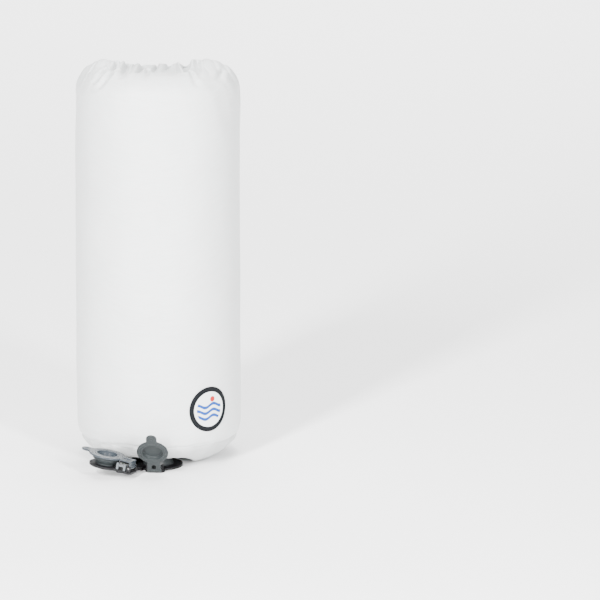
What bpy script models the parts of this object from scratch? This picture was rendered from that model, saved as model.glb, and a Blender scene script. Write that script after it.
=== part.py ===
"""Upright air sack standing on its twin mattress valve.

The sack is a fabric tube with a roll-top closure and a nozzle under its base. The nozzle plugs into
the inflate port of a moulded twin valve, whose two caps are held by straps. Metres, +Z up, +Y to the
back. The origin is on the sack's axis, at the height of the floor.
"""

import math

import bmesh
import bpy
import numpy as np
from mathutils import Matrix, Vector

# Sack: overall size
SACK_RADIUS = 0.097
SACK_HEIGHT = 0.476
FABRIC = 0.0012
BASE_CORNER = 0.047
SHOULDER_HEIGHT = 0.040
SHOULDER_WIDTH = 0.037
BACK_SHOULDER_WIDTH = 0.019
BACK_SHOULDER_DROP = 0.018
BACK_BLEND = 0.050
SHOULDER_FULLNESS = 0.77
CREST_DROP = 0.006
CREST_Y = -0.010
EAR_OFFSET = 0.060
EAR_WIDTH = 0.024

# Sack: roll-top closure, a loop laid down behind the crest
ROLL_HEIGHT = 0.012
ROLL_THICKNESS = 0.010
ROLL_WALL = 0.0016
ROLL_STRAIGHT = 0.090
ROLL_BEND = 0.028
ROLL_FRONT_Y = 0.010
ROLL_SLOPE = 0.25
ROLL_BELOW_CREST = 0.013
ROLL_SEAT = SACK_RADIUS / 32
ROLL_GAP_AT_BUCKLE = 0.052
STIFFENER_WIDTH = 0.0075
STIFFENER_THICKNESS = 0.001
WEBBING_WIDTH = 0.013
WEBBING_THICKNESS = 0.0014

# Sack: buckle, its length along X
BUCKLE_WIDTH = 0.020
BUCKLE_THICKNESS = 0.0075
FEMALE_LENGTH = 0.024
MALE_LENGTH = 0.010
BUCKLE_WALL = 0.0018
PRONG_LENGTH = 0.0165
PRONG_THICKNESS = 0.0022
PRONG_HEIGHT = 0.0034
BARB = 0.0018

# Sack: label patch and seam tape
PATCH_RADIUS = 0.025
PATCH_THICKNESS = 0.0006
PATCH_ANGLE = math.radians(38)
PATCH_HEIGHT = 0.074
TAPE_WIDTH = 0.016
TAPE_THICKNESS = 0.0005

# Twin valve: places, heights counted from the floor
BASE_THICKNESS = 0.0025
INFLATE_X, INFLATE_Y = 0.0, 0.040 - SACK_RADIUS
INFLATE_YAW = math.radians(-5)
INFLATE_FLANGE_RADIUS = 0.029
DEFLATE_X, DEFLATE_Y, DEFLATE_Z = 0.0366 - SACK_RADIUS, -0.0081 - SACK_RADIUS, 0.0115
DEFLATE_YAW = math.radians(67)
DEFLATE_TILT = math.radians(10)
DEFLATE_FLANGE_RADIUS = 0.019

# Twin valve: ports, heights counted from the top of the base plate
COLLAR_HEIGHT = 0.010
POCKET_RADIUS = 0.0138
POCKET_DEPTH = 0.0048
COLLAR_WALL = 0.0027
BORE_RADIUS = 0.009
SEAL_THICKNESS = 0.0008
GRID_THICKNESS = 0.0009
GRID_BAR = 0.0016
FLAP_THICKNESS = 0.0008

# Twin valve: caps
INFLATE_CAP_RADIUS = 0.0185
DEFLATE_CAP_RADIUS = 0.0215
CAP_THICKNESS = 0.0022
CAP_RECESS_RADIUS = 0.01225
CAP_STEP = 0.0017
CAP_FLOOR = 0.0017
TAB_LENGTH = 0.011
TAB_WIDTH = 0.0125
STRAP_REACH = 0.0335
STRAP_WIDTH = 0.0155
STRAP_THICKNESS = 0.002
SLOT_LENGTH, SLOT_WIDTH = 0.0085, 0.005
HINGE_HEIGHT = 0.004
BARREL_RADIUS = 0.0018
PIN_RADIUS = 0.0006
LUG_THICKNESS = 0.002
INFLATE_CAP_OPEN = math.radians(124)
STRAP_END_TO_SLOT = 0.003
TONGUE_PAST_HINGE = 0.0036
WEB_RADIUS = 0.009
WEB_START = (0, -0.024, -0.0015)
WEB_END = (-0.022, -0.019, 0.0013)

# Nozzle of the sack
NOZZLE_WALL = 0.002
NOZZLE_FLANGE = 0.0062
NOZZLE_FLANGE_THICKNESS = 0.0015
NOZZLE_RING_THICKNESS = 0.002
BASE_PATCH_THICKNESS = 0.0008

GAP = 0.0003
SACK_SEGMENTS = 48
ROUND_SEGMENTS = 32
FLANGE_SEGMENTS = 64

PLUG_RADIUS = POCKET_RADIUS - GAP
COLLAR_RADIUS = POCKET_RADIUS + COLLAR_WALL
POCKET_FLOOR = COLLAR_HEIGHT - POCKET_DEPTH
PLUG_END = POCKET_FLOOR + SEAL_THICKNESS + 2 * GAP
CAP_BOTTOM = COLLAR_HEIGHT + GAP
CAP_TOP = CAP_BOTTOM + CAP_THICKNESS
# The base fabric lies over the inflate port at this height above the floor
FABRIC_SEAT = BASE_THICKNESS + COLLAR_HEIGHT + NOZZLE_RING_THICKNESS + 2 * GAP
SEAT_RADIUS = PLUG_RADIUS + NOZZLE_FLANGE + SACK_RADIUS / 16
SEAT_FADE = 0.019


# --- Materials and objects ---


def material(name, colour, roughness, metallic=0.0):
    made = bpy.data.materials.new(name)
    made.use_nodes = True
    shader = made.node_tree.nodes["Principled BSDF"]
    shader.inputs["Base Color"].default_value = (*colour, 1.0)
    shader.inputs["Roughness"].default_value = roughness
    shader.inputs["Metallic"].default_value = metallic
    return made


def clear_scene():
    for found in list(bpy.data.objects):
        bpy.data.objects.remove(found, do_unlink=True)


def add_object(name, mesh, finish=None, parent=None, at=(0, 0, 0)):
    made = bpy.data.objects.new(name, mesh)
    bpy.context.scene.collection.objects.link(made)
    made.location = at
    if parent is not None:
        made.parent = parent
    if finish is not None:
        mesh.materials.append(finish)
        mesh.shade_smooth()
        mesh.set_sharp_from_angle(angle=math.radians(35))
    return made


def add_empty(name, matrix, parent=None):
    made = bpy.data.objects.new(name, None)
    bpy.context.scene.collection.objects.link(made)
    made.empty_display_size = 0.02
    made.parent = parent
    made.matrix_local = matrix
    return made


def mesh_of(name, points, faces):
    mesh = bpy.data.meshes.new(name)
    mesh.from_pydata([tuple(point) for point in points], [], faces)
    shape = bmesh.new()
    shape.from_mesh(mesh)
    bmesh.ops.remove_doubles(shape, verts=shape.verts, dist=1e-7)
    bmesh.ops.recalc_face_normals(shape, faces=shape.faces)
    shape.to_mesh(mesh)
    shape.free()
    return mesh


def as_cutter(cutter):
    cutter.hide_render = True
    cutter.display_type = "WIRE"
    return cutter


def boolean(target, other, operation):
    """Cuts the other shape from the target, or joins it on; the other stays as a hidden guide."""
    as_cutter(other)
    modifier = target.modifiers.new(other.name, "BOOLEAN")
    modifier.operation = operation
    modifier.solver = "EXACT"
    modifier.object = other


def rounded(target, width, segments=2):
    modifier = target.modifiers.new("edges", "BEVEL")
    modifier.width = width
    modifier.segments = segments
    modifier.limit_method = "ANGLE"
    modifier.angle_limit = math.radians(40)


# --- Shapes ---


def turned(name, profile, segments=ROUND_SEGMENTS):
    """A profile of (radius, height) points turned about Z. A profile that leaves and meets the axis is
    closed there; any other is a closed ring."""
    on_axis = profile[0][0] == 0
    angles = np.linspace(0, 2 * math.pi, segments, endpoint=False)
    points, faces = [], []
    for radius, height in profile:
        points += [(radius * math.cos(a), radius * math.sin(a), height) for a in angles]
    rows = len(profile)
    for row in range(rows - 1 if on_axis else rows):
        for column in range(segments):
            after = (column + 1) % segments
            low, high = row * segments, (row + 1) % rows * segments
            corners = [low + column, low + after, high + after, high + column]
            if profile[row][0] == 0:
                corners = corners[1:]
            elif profile[(row + 1) % rows][0] == 0:
                corners = corners[:3]
            faces.append(corners)
    return mesh_of(name, points, faces)


def slab(name, outline, low, high):
    """An outline in X and Y, extruded from one height to another."""
    count = len(outline)
    points = [(x, y, low) for x, y in outline] + [(x, y, high) for x, y in outline]
    faces = [list(range(count))[::-1], list(range(count, 2 * count))]
    faces += [[i, (i + 1) % count, count + (i + 1) % count, count + i] for i in range(count)]
    return mesh_of(name, points, faces)


def block(name, size, centre):
    half = [side / 2 for side in size]
    outline = [
        (centre[0] + sx * half[0], centre[1] + sy * half[1])
        for sx, sy in ((-1, -1), (1, -1), (1, 1), (-1, 1))
    ]
    return slab(name, outline, centre[2] - half[2], centre[2] + half[2])


def profile_bar(name, outline, width):
    """An outline in Y and Z, extruded along X and centred on it."""
    mesh = slab(name, outline, -width / 2, width / 2)
    mesh.transform(Matrix(((0, 0, 1, 0), (1, 0, 0, 0), (0, 1, 0, 0), (0, 0, 0, 1))))
    return mesh


def circle_outline(x, y, radius, segments=ROUND_SEGMENTS):
    angles = np.linspace(0, 2 * math.pi, segments, endpoint=False)
    return [(x + radius * math.cos(a), y + radius * math.sin(a)) for a in angles]


def oval_outline(x, y, width, length, segments=8):
    """A round-ended slot, long in Y."""
    radius, reach = width / 2, (length - width) / 2
    top = [math.pi * i / segments for i in range(segments + 1)]
    outline = [(x + radius * math.cos(a), y + reach + radius * math.sin(a)) for a in top]
    return outline + [(2 * x - px, 2 * y - py) for px, py in outline]


def capsule_outline(start, end, radius, segments=10):
    """A round-ended band between two points, in plan."""
    facing = math.atan2(end.y - start.y, end.x - start.x)
    outline = []
    for centre, first in ((end, facing - math.pi / 2), (start, facing + math.pi / 2)):
        for i in range(segments + 1):
            turn = first + math.pi * i / segments
            outline.append((centre.x + radius * math.cos(turn), centre.y + radius * math.sin(turn)))
    return outline


def rod(name, radius, length, segments=16):
    """A plain rod along X."""
    mesh = slab(name, circle_outline(0, 0, radius, segments), -length / 2, length / 2)
    mesh.transform(Matrix.Rotation(math.pi / 2, 4, "Y"))
    return mesh


def swept(name, path, frames, outer, inner=None):
    """A section carried along a path. With an inner section it is a tube with open ends."""
    count, rows = len(outer), len(path)
    sections = [outer] if inner is None else [outer, inner]
    points, faces = [], []
    for section in sections:
        for centre, (side, up) in zip(path, frames):
            points += [centre + side * a + up * b for a, b in section]
    for shell in range(len(sections)):
        start = shell * rows * count
        for row in range(rows - 1):
            for i in range(count):
                low, high, after = start + row * count, start + (row + 1) * count, (i + 1) % count
                faces.append([low + i, low + after, high + after, high + i])
    for end in (0, rows - 1):
        low = end * count
        if inner is None:
            faces.append(list(range(low, low + count)))
        else:
            other = rows * count + low
            faces += [
                [low + i, low + (i + 1) % count, other + (i + 1) % count, other + i]
                for i in range(count)
            ]
    return mesh_of(name, points, faces)


def smooth_step(value):
    held = np.clip(value, 0, 1)
    return held * held * (3 - 2 * held)


# --- Sack ---


def crest_height():
    return SACK_HEIGHT - CREST_DROP


def roll_height(y):
    """Height of the roll's centre line, which slopes down to the back."""
    return crest_height() - ROLL_BELOW_CREST - ROLL_SLOPE * (y - ROLL_FRONT_Y)


def top_height(x, y):
    """The sack's top before its shoulder: a crest in front, two ears, and a bed for the roll behind."""
    ear = CREST_DROP * 1.15 * np.exp(-(((np.abs(x) - EAR_OFFSET) / EAR_WIDTH) ** 2))
    ear = ear * np.exp(-(((y - CREST_Y) / 0.020) ** 2))
    bed = roll_height(y) - ROLL_HEIGHT / 2 - ROLL_SEAT
    behind = smooth_step((y - CREST_Y - 0.002) / (ROLL_FRONT_Y - ROLL_HEIGHT / 2 - CREST_Y))
    return (crest_height() + ear) * (1 - behind) + bed * behind


def seat_lift(x, y, height):
    """The base fabric rises over the inflate port and lies flat on its nozzle ring there."""
    distance = np.hypot(x - INFLATE_X, y - INFLATE_Y)
    weight = 1 - smooth_step((distance - SEAT_RADIUS) / SEAT_FADE)
    return height + weight * np.maximum(FABRIC_SEAT - height, 0)


def sack_rings():
    """Rings of the sack's outer surface, from the middle of its base to the middle of its top."""
    angles = np.linspace(0, 2 * math.pi, SACK_SEGMENTS, endpoint=False)
    across, along = np.cos(angles), np.sin(angles)
    flat = SACK_RADIUS - BASE_CORNER
    rings = []
    for radius in np.linspace(0, flat, 5):
        x, y = radius * across, radius * along
        rings.append((x, y, seat_lift(x, y, np.zeros_like(x))))
    for turn in np.radians(np.arange(15, 91, 15)):
        radius = flat + BASE_CORNER * math.sin(turn)
        x, y = radius * across, radius * along
        height = np.full_like(x, BASE_CORNER * (1 - math.cos(turn)))
        rings.append((x, y, seat_lift(x, y, height)))
    x, y = SACK_RADIUS * across, SACK_RADIUS * along
    back = smooth_step(y / BACK_BLEND)
    shoulder = SACK_HEIGHT - SHOULDER_HEIGHT - BACK_SHOULDER_DROP * back
    width = SHOULDER_WIDTH + (BACK_SHOULDER_WIDTH - SHOULDER_WIDTH) * back
    for share in np.linspace(0, 1, 9)[1:]:
        rings.append((x, y, BASE_CORNER + (shoulder - BASE_CORNER) * share))
    for turn in np.radians(np.arange(15, 91, 15)):
        inward, upward = (abs(v) ** SHOULDER_FULLNESS for v in (math.cos(turn), math.sin(turn)))
        radius = SACK_RADIUS - width * (1 - inward)
        x, y = radius * across, radius * along
        rings.append((x, y, shoulder + (top_height(x, y) - shoulder) * upward))
    for share in np.linspace(1, 0, 8)[1:]:
        radius = (SACK_RADIUS - width) * share
        x, y = radius * across, radius * along
        rings.append((x, y, top_height(x, y)))
    return rings


def ringed(name, rings):
    """A closed surface over rings whose first and last have no radius."""
    points = np.concatenate([np.stack(ring, axis=1) for ring in rings])
    faces = []
    for row in range(len(rings) - 1):
        low, high = row * SACK_SEGMENTS, (row + 1) * SACK_SEGMENTS
        for column in range(SACK_SEGMENTS):
            after = (column + 1) % SACK_SEGMENTS
            corners = [low + column, low + after, high + after, high + column]
            if row == 0:
                corners = [low, high + after, high + column]
            elif row == len(rings) - 2:
                corners = [low + column, low + after, high]
            faces.append(corners)
    points[:SACK_SEGMENTS] = points[0]
    points[-SACK_SEGMENTS:] = points[-SACK_SEGMENTS]
    return mesh_of(name, points, faces)


def make_sack_shell(fabric):
    shell = add_object("sack_shell", ringed("sack_shell", sack_rings()), fabric)
    wall = shell.modifiers.new("wall", "SOLIDIFY")
    wall.thickness = FABRIC
    wall.offset = -1
    hole = turned("nozzle_hole", [
        (0, FABRIC_SEAT - 0.004),
        (PLUG_RADIUS + 2 * GAP, FABRIC_SEAT - 0.004),
        (PLUG_RADIUS + 2 * GAP, FABRIC_SEAT + 0.005),
        (0, FABRIC_SEAT + 0.005),
    ])
    boolean(shell, add_object("nozzle_hole", hole, at=(INFLATE_X, INFLATE_Y, 0)), "DIFFERENCE")
    return shell


def wall_sheet(name, angle, height, half_angle_at, inner, outer, columns):
    """A thin sheet curved about the sack's axis. half_angle_at gives, for each of its columns from
    -1 to 1, the sheet's half height there; angle is measured from the front towards +X."""
    width, tall = half_angle_at
    steps = np.linspace(-1, 1, columns + 1)
    points, faces = [], []
    for radius in (inner, outer):
        for step in steps:
            turn = angle + step * width / outer
            for side in (-1, 1):
                rise = height + side * tall(step)
                points.append((radius * math.sin(turn), -radius * math.cos(turn), rise))
    count = 2 * (columns + 1)
    for i in range(columns):
        low = 2 * i
        faces.append([low, low + 1, low + 3, low + 2])
        faces.append([count + low, count + low + 2, count + low + 3, count + low + 1])
        faces.append([low, low + 2, count + low + 2, count + low])
        faces.append([low + 1, count + low + 1, count + low + 3, low + 3])
    for low in (0, count - 2):
        faces.append([low, count + low, count + low + 1, low + 1])
    return mesh_of(name, points, faces)


def make_label_patch(vinyl):
    """A round patch curved round the wall. Its outermost columns keep a sliver of height."""
    least = 0.12

    def half_height(step):
        return PATCH_RADIUS * math.sqrt(max(1 - step * step, least * least))

    inner = SACK_RADIUS + 1.5 * GAP
    mesh = wall_sheet(
        "label_patch", PATCH_ANGLE, PATCH_HEIGHT, (PATCH_RADIUS, half_height),
        inner, inner + PATCH_THICKNESS, 20,
    )
    add_object("label_patch", mesh, vinyl)


def make_seam_tape(fabric):
    low = BASE_CORNER + 0.012
    high = SACK_HEIGHT - SHOULDER_HEIGHT - BACK_SHOULDER_DROP - 0.012
    facet = 1 - math.cos(math.pi / SACK_SEGMENTS)
    outer = SACK_RADIUS * (1 - facet) - FABRIC - 2 * GAP
    mesh = wall_sheet(
        "seam_tape", math.pi, (low + high) / 2, (TAPE_WIDTH / 2, lambda _: (high - low) / 2),
        outer - TAPE_THICKNESS, outer, 4,
    )
    add_object("seam_tape", mesh, fabric)


def make_nozzle(moulded, fabric):
    """The spout and its flange inside the sack, the ring under the fabric and the base's patch."""
    above = FABRIC_SEAT - BASE_THICKNESS
    patch_low = above + FABRIC + GAP
    flange_low = patch_low + BASE_PATCH_THICKNESS + GAP
    flange_high = flange_low + NOZZLE_FLANGE_THICKNESS
    bore = PLUG_RADIUS - NOZZLE_WALL
    rim = PLUG_RADIUS + NOZZLE_FLANGE
    hole = PLUG_RADIUS + 2 * GAP
    frame = add_empty("nozzle_frame", Matrix.Translation((INFLATE_X, INFLATE_Y, BASE_THICKNESS)))
    spout = turned("nozzle", [
        (bore, PLUG_END), (PLUG_RADIUS - 0.0004, PLUG_END), (PLUG_RADIUS, PLUG_END + 0.0012),
        (PLUG_RADIUS, flange_low), (rim, flange_low), (rim, flange_high), (bore, flange_high),
    ])
    add_object("nozzle", spout, moulded, frame)
    ring = turned("nozzle_ring", [
        (hole, COLLAR_HEIGHT + GAP), (rim, COLLAR_HEIGHT + GAP),
        (rim, above - GAP), (hole, above - GAP),
    ])
    add_object("nozzle_ring", ring, moulded, frame)
    patch = turned("base_patch", [
        (hole, patch_low), (rim + 0.0015, patch_low),
        (rim + 0.0015, patch_low + BASE_PATCH_THICKNESS), (hole, patch_low + BASE_PATCH_THICKNESS),
    ])
    add_object("base_patch", patch, fabric, frame)


# --- Roll-top closure ---


def loop_point(distance):
    """A point on the closure's loop in plan, by its distance from the middle of the front run, anti-
    clockwise from above: a straight front run, a half circle, a straight back run, a half circle."""
    half, arc = ROLL_STRAIGHT / 2, math.pi * ROLL_BEND
    side = 1 if distance >= 0 else -1
    run = abs(distance)
    if run < half:
        return side * run, ROLL_FRONT_Y
    if run < half + arc:
        turn = (run - half) / ROLL_BEND
        return side * (half + ROLL_BEND * math.sin(turn)), (
            ROLL_FRONT_Y + ROLL_BEND * (1 - math.cos(turn))
        )
    return side * (half - (run - half - arc)), ROLL_FRONT_Y + 2 * ROLL_BEND


def loop_path(inset):
    """The roll's centre line in space, up to a distance from the middle of the back run."""
    reach = ROLL_STRAIGHT + math.pi * ROLL_BEND - ROLL_GAP_AT_BUCKLE / 2 - inset
    spots = [loop_point(distance) for distance in np.linspace(-reach, reach, 41)]
    path = [Vector((x, y, roll_height(y))) for x, y in spots]
    up = Vector((0, ROLL_SLOPE, 1)).normalized()
    frames = []
    for i in range(len(path)):
        along = (path[min(i + 1, len(path) - 1)] - path[max(i - 1, 0)]).normalized()
        frames.append((along.cross(up).normalized(), up))
    return path, frames


def oval_section(width, height, count=12):
    angles = [2 * math.pi * i / count for i in range(count)]
    return [(width / 2 * math.cos(a), height / 2 * math.sin(a)) for a in angles]


def make_roll(fabric, stiff):
    path, frames = loop_path(0)
    hollow = (ROLL_THICKNESS - 2 * ROLL_WALL, ROLL_HEIGHT - 2 * ROLL_WALL)
    mesh = swept(
        "roll_top", path, frames, oval_section(ROLL_THICKNESS, ROLL_HEIGHT), oval_section(*hollow)
    )
    add_object("roll_top", mesh, fabric)
    path, frames = loop_path(0.004)
    half, tall = STIFFENER_THICKNESS / 2, STIFFENER_WIDTH / 2
    section = [(-half, -tall), (half, -tall), (half, tall), (-half, tall)]
    add_object("stiffener_strip", swept("stiffener_strip", path, frames, section), stiff)


def buckle_frame():
    """The buckle's own frame in the middle of the loop's back run, flat on the sloping bed."""
    y = ROLL_FRONT_Y + 2 * ROLL_BEND
    place = Matrix.Translation((0, y, roll_height(y)))
    return add_empty("buckle_frame", place @ Matrix.Rotation(-math.atan(ROLL_SLOPE), 4, "X"))


def make_buckle(plastic, webbing):
    """The female half on the left, the male half with its two prongs on the right."""
    frame = buckle_frame()
    middle = -0.003
    mouth = middle + FEMALE_LENGTH / 2
    female = add_object(
        "buckle_female",
        block("buckle_female", (FEMALE_LENGTH, BUCKLE_WIDTH, BUCKLE_THICKNESS), (middle, 0, 0)),
        plastic, frame,
    )
    rounded(female, 0.0012)
    pocket_width = BUCKLE_WIDTH - 2 * BUCKLE_WALL
    pocket_height = BUCKLE_THICKNESS - 2 * BUCKLE_WALL
    pocket_end = mouth - PRONG_LENGTH - 0.0015
    pocket = block(
        "buckle_pocket", (mouth - pocket_end + 0.002, pocket_width, pocket_height),
        ((mouth + pocket_end + 0.002) / 2, 0, 0),
    )
    boolean(female, add_object("buckle_pocket", pocket, None, frame), "DIFFERENCE")
    window_length = 0.0085
    window = block(
        "buckle_windows", (window_length, BUCKLE_WIDTH + 0.002, pocket_height),
        (pocket_end + 0.001 + window_length / 2, 0, 0),
    )
    boolean(female, add_object("buckle_windows", window, None, frame), "DIFFERENCE")
    base_low = mouth + 2 * GAP
    male = add_object(
        "buckle_male",
        block("buckle_male", (MALE_LENGTH, BUCKLE_WIDTH, BUCKLE_THICKNESS),
              (base_low + MALE_LENGTH / 2, 0, 0)),
        plastic, frame,
    )
    tongue_length = PRONG_LENGTH - 0.003
    tongue = block(
        "buckle_tongue", (tongue_length, 0.003, PRONG_HEIGHT),
        (base_low - tongue_length / 2 + 0.001, 0, 0),
    )
    boolean(male, add_object("buckle_tongue", tongue, None, frame), "UNION")
    rounded(male, 0.0009)
    for side, name in ((1, "left"), (-1, "right")):
        make_prong(name, side, base_low, pocket_width, plastic, frame)
    reach = ROLL_GAP_AT_BUCKLE / 2
    for name, low, high in (
        ("webbing_left", -reach, middle - FEMALE_LENGTH / 2),
        ("webbing_right", base_low + MALE_LENGTH, reach),
    ):
        size = (high - low - 2 * GAP, WEBBING_WIDTH, WEBBING_THICKNESS)
        strip = block(name, size, ((low + high) / 2, 0, 0))
        add_object(name, strip, webbing, frame)


def make_prong(name, side, root, pocket_width, plastic, frame):
    """A prong with its origin at its root. Its barb stands out into the female half's window."""
    outer = side * (pocket_width / 2 - 2 * GAP)
    inner = outer - side * PRONG_THICKNESS
    tip, heel = -PRONG_LENGTH, -PRONG_LENGTH + 0.0055
    barb = outer + side * BARB
    pivot = (outer + inner) / 2
    outline = [
        (-GAP, inner), (-GAP, outer), (heel, outer), (heel, barb),
        (tip + 0.002, barb), (tip, outer), (tip, inner),
    ]
    mesh = slab(name, [(x, y - pivot) for x, y in outline], -PRONG_HEIGHT / 2, PRONG_HEIGHT / 2)
    add_object("buckle_prong_" + name, mesh, plastic, frame, at=(root, pivot, 0))


# --- Twin valve ---


def valve_frames():
    inflate = Matrix.Translation((INFLATE_X, INFLATE_Y, BASE_THICKNESS))
    inflate = inflate @ Matrix.Rotation(INFLATE_YAW, 4, "Z")
    deflate = Matrix.Translation((DEFLATE_X, DEFLATE_Y, DEFLATE_Z + BASE_THICKNESS))
    deflate = deflate @ Matrix.Rotation(DEFLATE_TILT, 4, "Y")
    deflate = deflate @ Matrix.Rotation(DEFLATE_YAW, 4, "Z")
    return add_empty("inflate_frame", inflate), add_empty("deflate_frame", deflate)


def lobe(name, radius, frame, width, reach):
    """A round flange with a tongue that carries the cap's bracket."""
    half, end, cut = width / 2, -reach - TONGUE_PAST_HINGE, TONGUE_PAST_HINGE
    first = math.asin(half / radius) - math.pi / 2
    turns = np.linspace(first, 3 * math.pi / 2 - (first + math.pi / 2), FLANGE_SEGMENTS)
    outline = [(radius * math.cos(a), radius * math.sin(a)) for a in turns]
    outline += [(-half, end + cut), (cut - half, end), (half - cut, end), (half, end + cut)]
    return add_object(name, slab(name, outline, -BASE_THICKNESS, 0), None, frame)


def between(start, end):
    """A frame at one point whose X axis runs to the other, as level across as it can be."""
    along = (end - start).normalized()
    across = Vector((0, 0, 1)).cross(along).normalized()
    axes = Matrix((along, across, along.cross(across))).transposed()
    return Matrix.Translation(start) @ axes.to_4x4()


def make_valve_base(rubber, inflate, deflate):
    """Both flanges as one plate: the deflate lobe slopes up, and a web joins it to the flat one."""
    width = STRAP_WIDTH + 2 * LUG_THICKNESS + 0.003
    plate = lobe("valve_base", INFLATE_FLANGE_RADIUS, inflate, width, STRAP_REACH)
    plate.data.materials.append(rubber)
    boolean(plate, lobe("deflate_lobe", DEFLATE_FLANGE_RADIUS, deflate, width, STRAP_REACH), "UNION")
    start, end = deflate.matrix_world @ Vector(WEB_START), inflate.matrix_world @ Vector(WEB_END)
    outline = capsule_outline(Vector((0, 0)), Vector(((end - start).length, 0)), WEB_RADIUS)
    web = slab("web", outline, -BASE_THICKNESS, 0)
    boolean(plate, add_object("web", web, None, add_empty("web_frame", between(start, end))), "UNION")
    for name, frame in (("inflate_bore", inflate), ("deflate_bore", deflate)):
        hole = slab(name, circle_outline(0, 0, BORE_RADIUS), -2 * BASE_THICKNESS, BASE_THICKNESS)
        boolean(plate, add_object(name, hole, None, frame), "DIFFERENCE")


def make_port(name, foot_radius, moulded, frame):
    """A collar on the flange, with a pocket for a plug above a narrower bore."""
    edge = 0.0006
    mesh = turned(name, [
        (BORE_RADIUS, GAP), (foot_radius, GAP), (COLLAR_RADIUS, COLLAR_HEIGHT - 0.003),
        (COLLAR_RADIUS, COLLAR_HEIGHT - edge), (COLLAR_RADIUS - edge, COLLAR_HEIGHT),
        (POCKET_RADIUS, COLLAR_HEIGHT), (POCKET_RADIUS, POCKET_FLOOR), (BORE_RADIUS, POCKET_FLOOR),
    ])
    add_object(name, mesh, moulded, frame)


def make_seal(name, silicone, frame):
    low = POCKET_FLOOR + GAP
    mesh = turned(name, [
        (BORE_RADIUS + 0.001, low), (POCKET_RADIUS - GAP, low),
        (POCKET_RADIUS - GAP, low + SEAL_THICKNESS), (BORE_RADIUS + 0.001, low + SEAL_THICKNESS),
    ])
    add_object(name, mesh, silicone, frame)


def make_bracket(name, moulded, steel, frame):
    """Two lugs on a foot, with the cap's hinge pin through them."""
    lug_at = STRAP_WIDTH / 2 + GAP + LUG_THICKNESS / 2
    lug_high = HINGE_HEIGHT + BARREL_RADIUS + 0.0006
    foot_high = GAP + 0.001
    foot = block(
        name, (2 * lug_at + LUG_THICKNESS, 2.4 * BARREL_RADIUS, foot_high - GAP),
        (0, -STRAP_REACH, (GAP + foot_high) / 2),
    )
    bracket = add_object(name, foot, moulded, frame)
    for side in (-1, 1):
        part = name + ("_lug_right" if side > 0 else "_lug_left")
        lug = block(
            part, (LUG_THICKNESS, 2.4 * BARREL_RADIUS, lug_high - GAP),
            (side * lug_at, -STRAP_REACH, (GAP + lug_high) / 2),
        )
        boolean(bracket, add_object(part, lug, None, frame), "UNION")
    length = 2 * lug_at + LUG_THICKNESS
    hole = rod(name + "_hole", PIN_RADIUS + GAP, length + 0.004)
    place = (0, -STRAP_REACH, HINGE_HEIGHT)
    boolean(bracket, add_object(name + "_hole", hole, None, frame, place), "DIFFERENCE")
    pin = rod(name, PIN_RADIUS, length)
    add_object(name.replace("bracket", "pin"), pin, steel, frame, place)


def make_cap(name, radius, moulded, frame, opened):
    """A cap with a stepped recess in its face and a plug below, a tab, and a strap with a slot. Its
    origin is on its hinge; it is drawn closed, then turned open."""
    step_high = CAP_TOP - (CAP_TOP - PLUG_END - CAP_FLOOR) / 2
    floor = PLUG_END + CAP_FLOOR
    inner = CAP_RECESS_RADIUS - CAP_STEP
    edge = 0.0005
    place = Matrix.Translation((0, STRAP_REACH, -HINGE_HEIGHT))
    disc = turned(name, [
        (0, floor), (inner, floor), (inner, step_high), (CAP_RECESS_RADIUS, step_high),
        (CAP_RECESS_RADIUS, CAP_TOP), (radius - edge, CAP_TOP), (radius, CAP_TOP - edge),
        (radius, CAP_BOTTOM + edge), (radius - edge, CAP_BOTTOM),
        (PLUG_RADIUS, CAP_BOTTOM), (PLUG_RADIUS, PLUG_END), (0, PLUG_END),
    ])
    disc.transform(place)
    hinge = add_empty(
        name + "_hinge",
        Matrix.Translation((0, -STRAP_REACH, HINGE_HEIGHT)) @ Matrix.Rotation(opened, 4, "X"),
        frame,
    )
    cap = add_object(name, disc, moulded, hinge)
    tab_start = CAP_RECESS_RADIUS + 0.002
    tab_length = radius + TAB_LENGTH - tab_start
    tab = slab(
        name + "_tab", oval_outline(0, tab_start + tab_length / 2, TAB_WIDTH, tab_length),
        CAP_BOTTOM + 0.0001, CAP_TOP - 0.0001,
    )
    tab.transform(place)
    boolean(cap, add_object(name + "_tab", tab, None, hinge), "UNION")
    dimple = turned(name + "_dimple", [
        (0, CAP_TOP - 0.0009), (0.0017, CAP_TOP - 0.0009), (0.0017, CAP_TOP + 0.001), (0, CAP_TOP + 0.001),
    ], 12)
    dimple.transform(place @ Matrix.Translation((0, radius + TAB_LENGTH - TAB_WIDTH / 2, 0)))
    boolean(cap, add_object(name + "_dimple", dimple, None, hinge), "DIFFERENCE")
    level = CAP_BOTTOM + STRAP_THICKNESS - HINGE_HEIGHT
    start, half = STRAP_REACH - CAP_RECESS_RADIUS - 0.002, STRAP_THICKNESS / 2
    strap = profile_bar(name + "_strap", [
        (start, level), (start, level - STRAP_THICKNESS), (half, level - STRAP_THICKNESS),
        (half, 0), (-half, 0), (-half, level),
    ], STRAP_WIDTH)
    boolean(cap, add_object(name + "_strap", strap, None, hinge), "UNION")
    barrel = rod(name + "_barrel", BARREL_RADIUS, STRAP_WIDTH)
    boolean(cap, add_object(name + "_barrel", barrel, None, hinge), "UNION")
    eye = rod(name + "_eye", PIN_RADIUS + GAP, STRAP_WIDTH + 0.004)
    boolean(cap, add_object(name + "_eye", eye, None, hinge), "DIFFERENCE")
    slot_at = STRAP_END_TO_SLOT + SLOT_LENGTH / 2
    slot = slab(name + "_slot", oval_outline(0, slot_at, SLOT_WIDTH, SLOT_LENGTH), -0.006, 0.014)
    boolean(cap, add_object(name + "_slot", slot, None, hinge), "DIFFERENCE")


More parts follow.
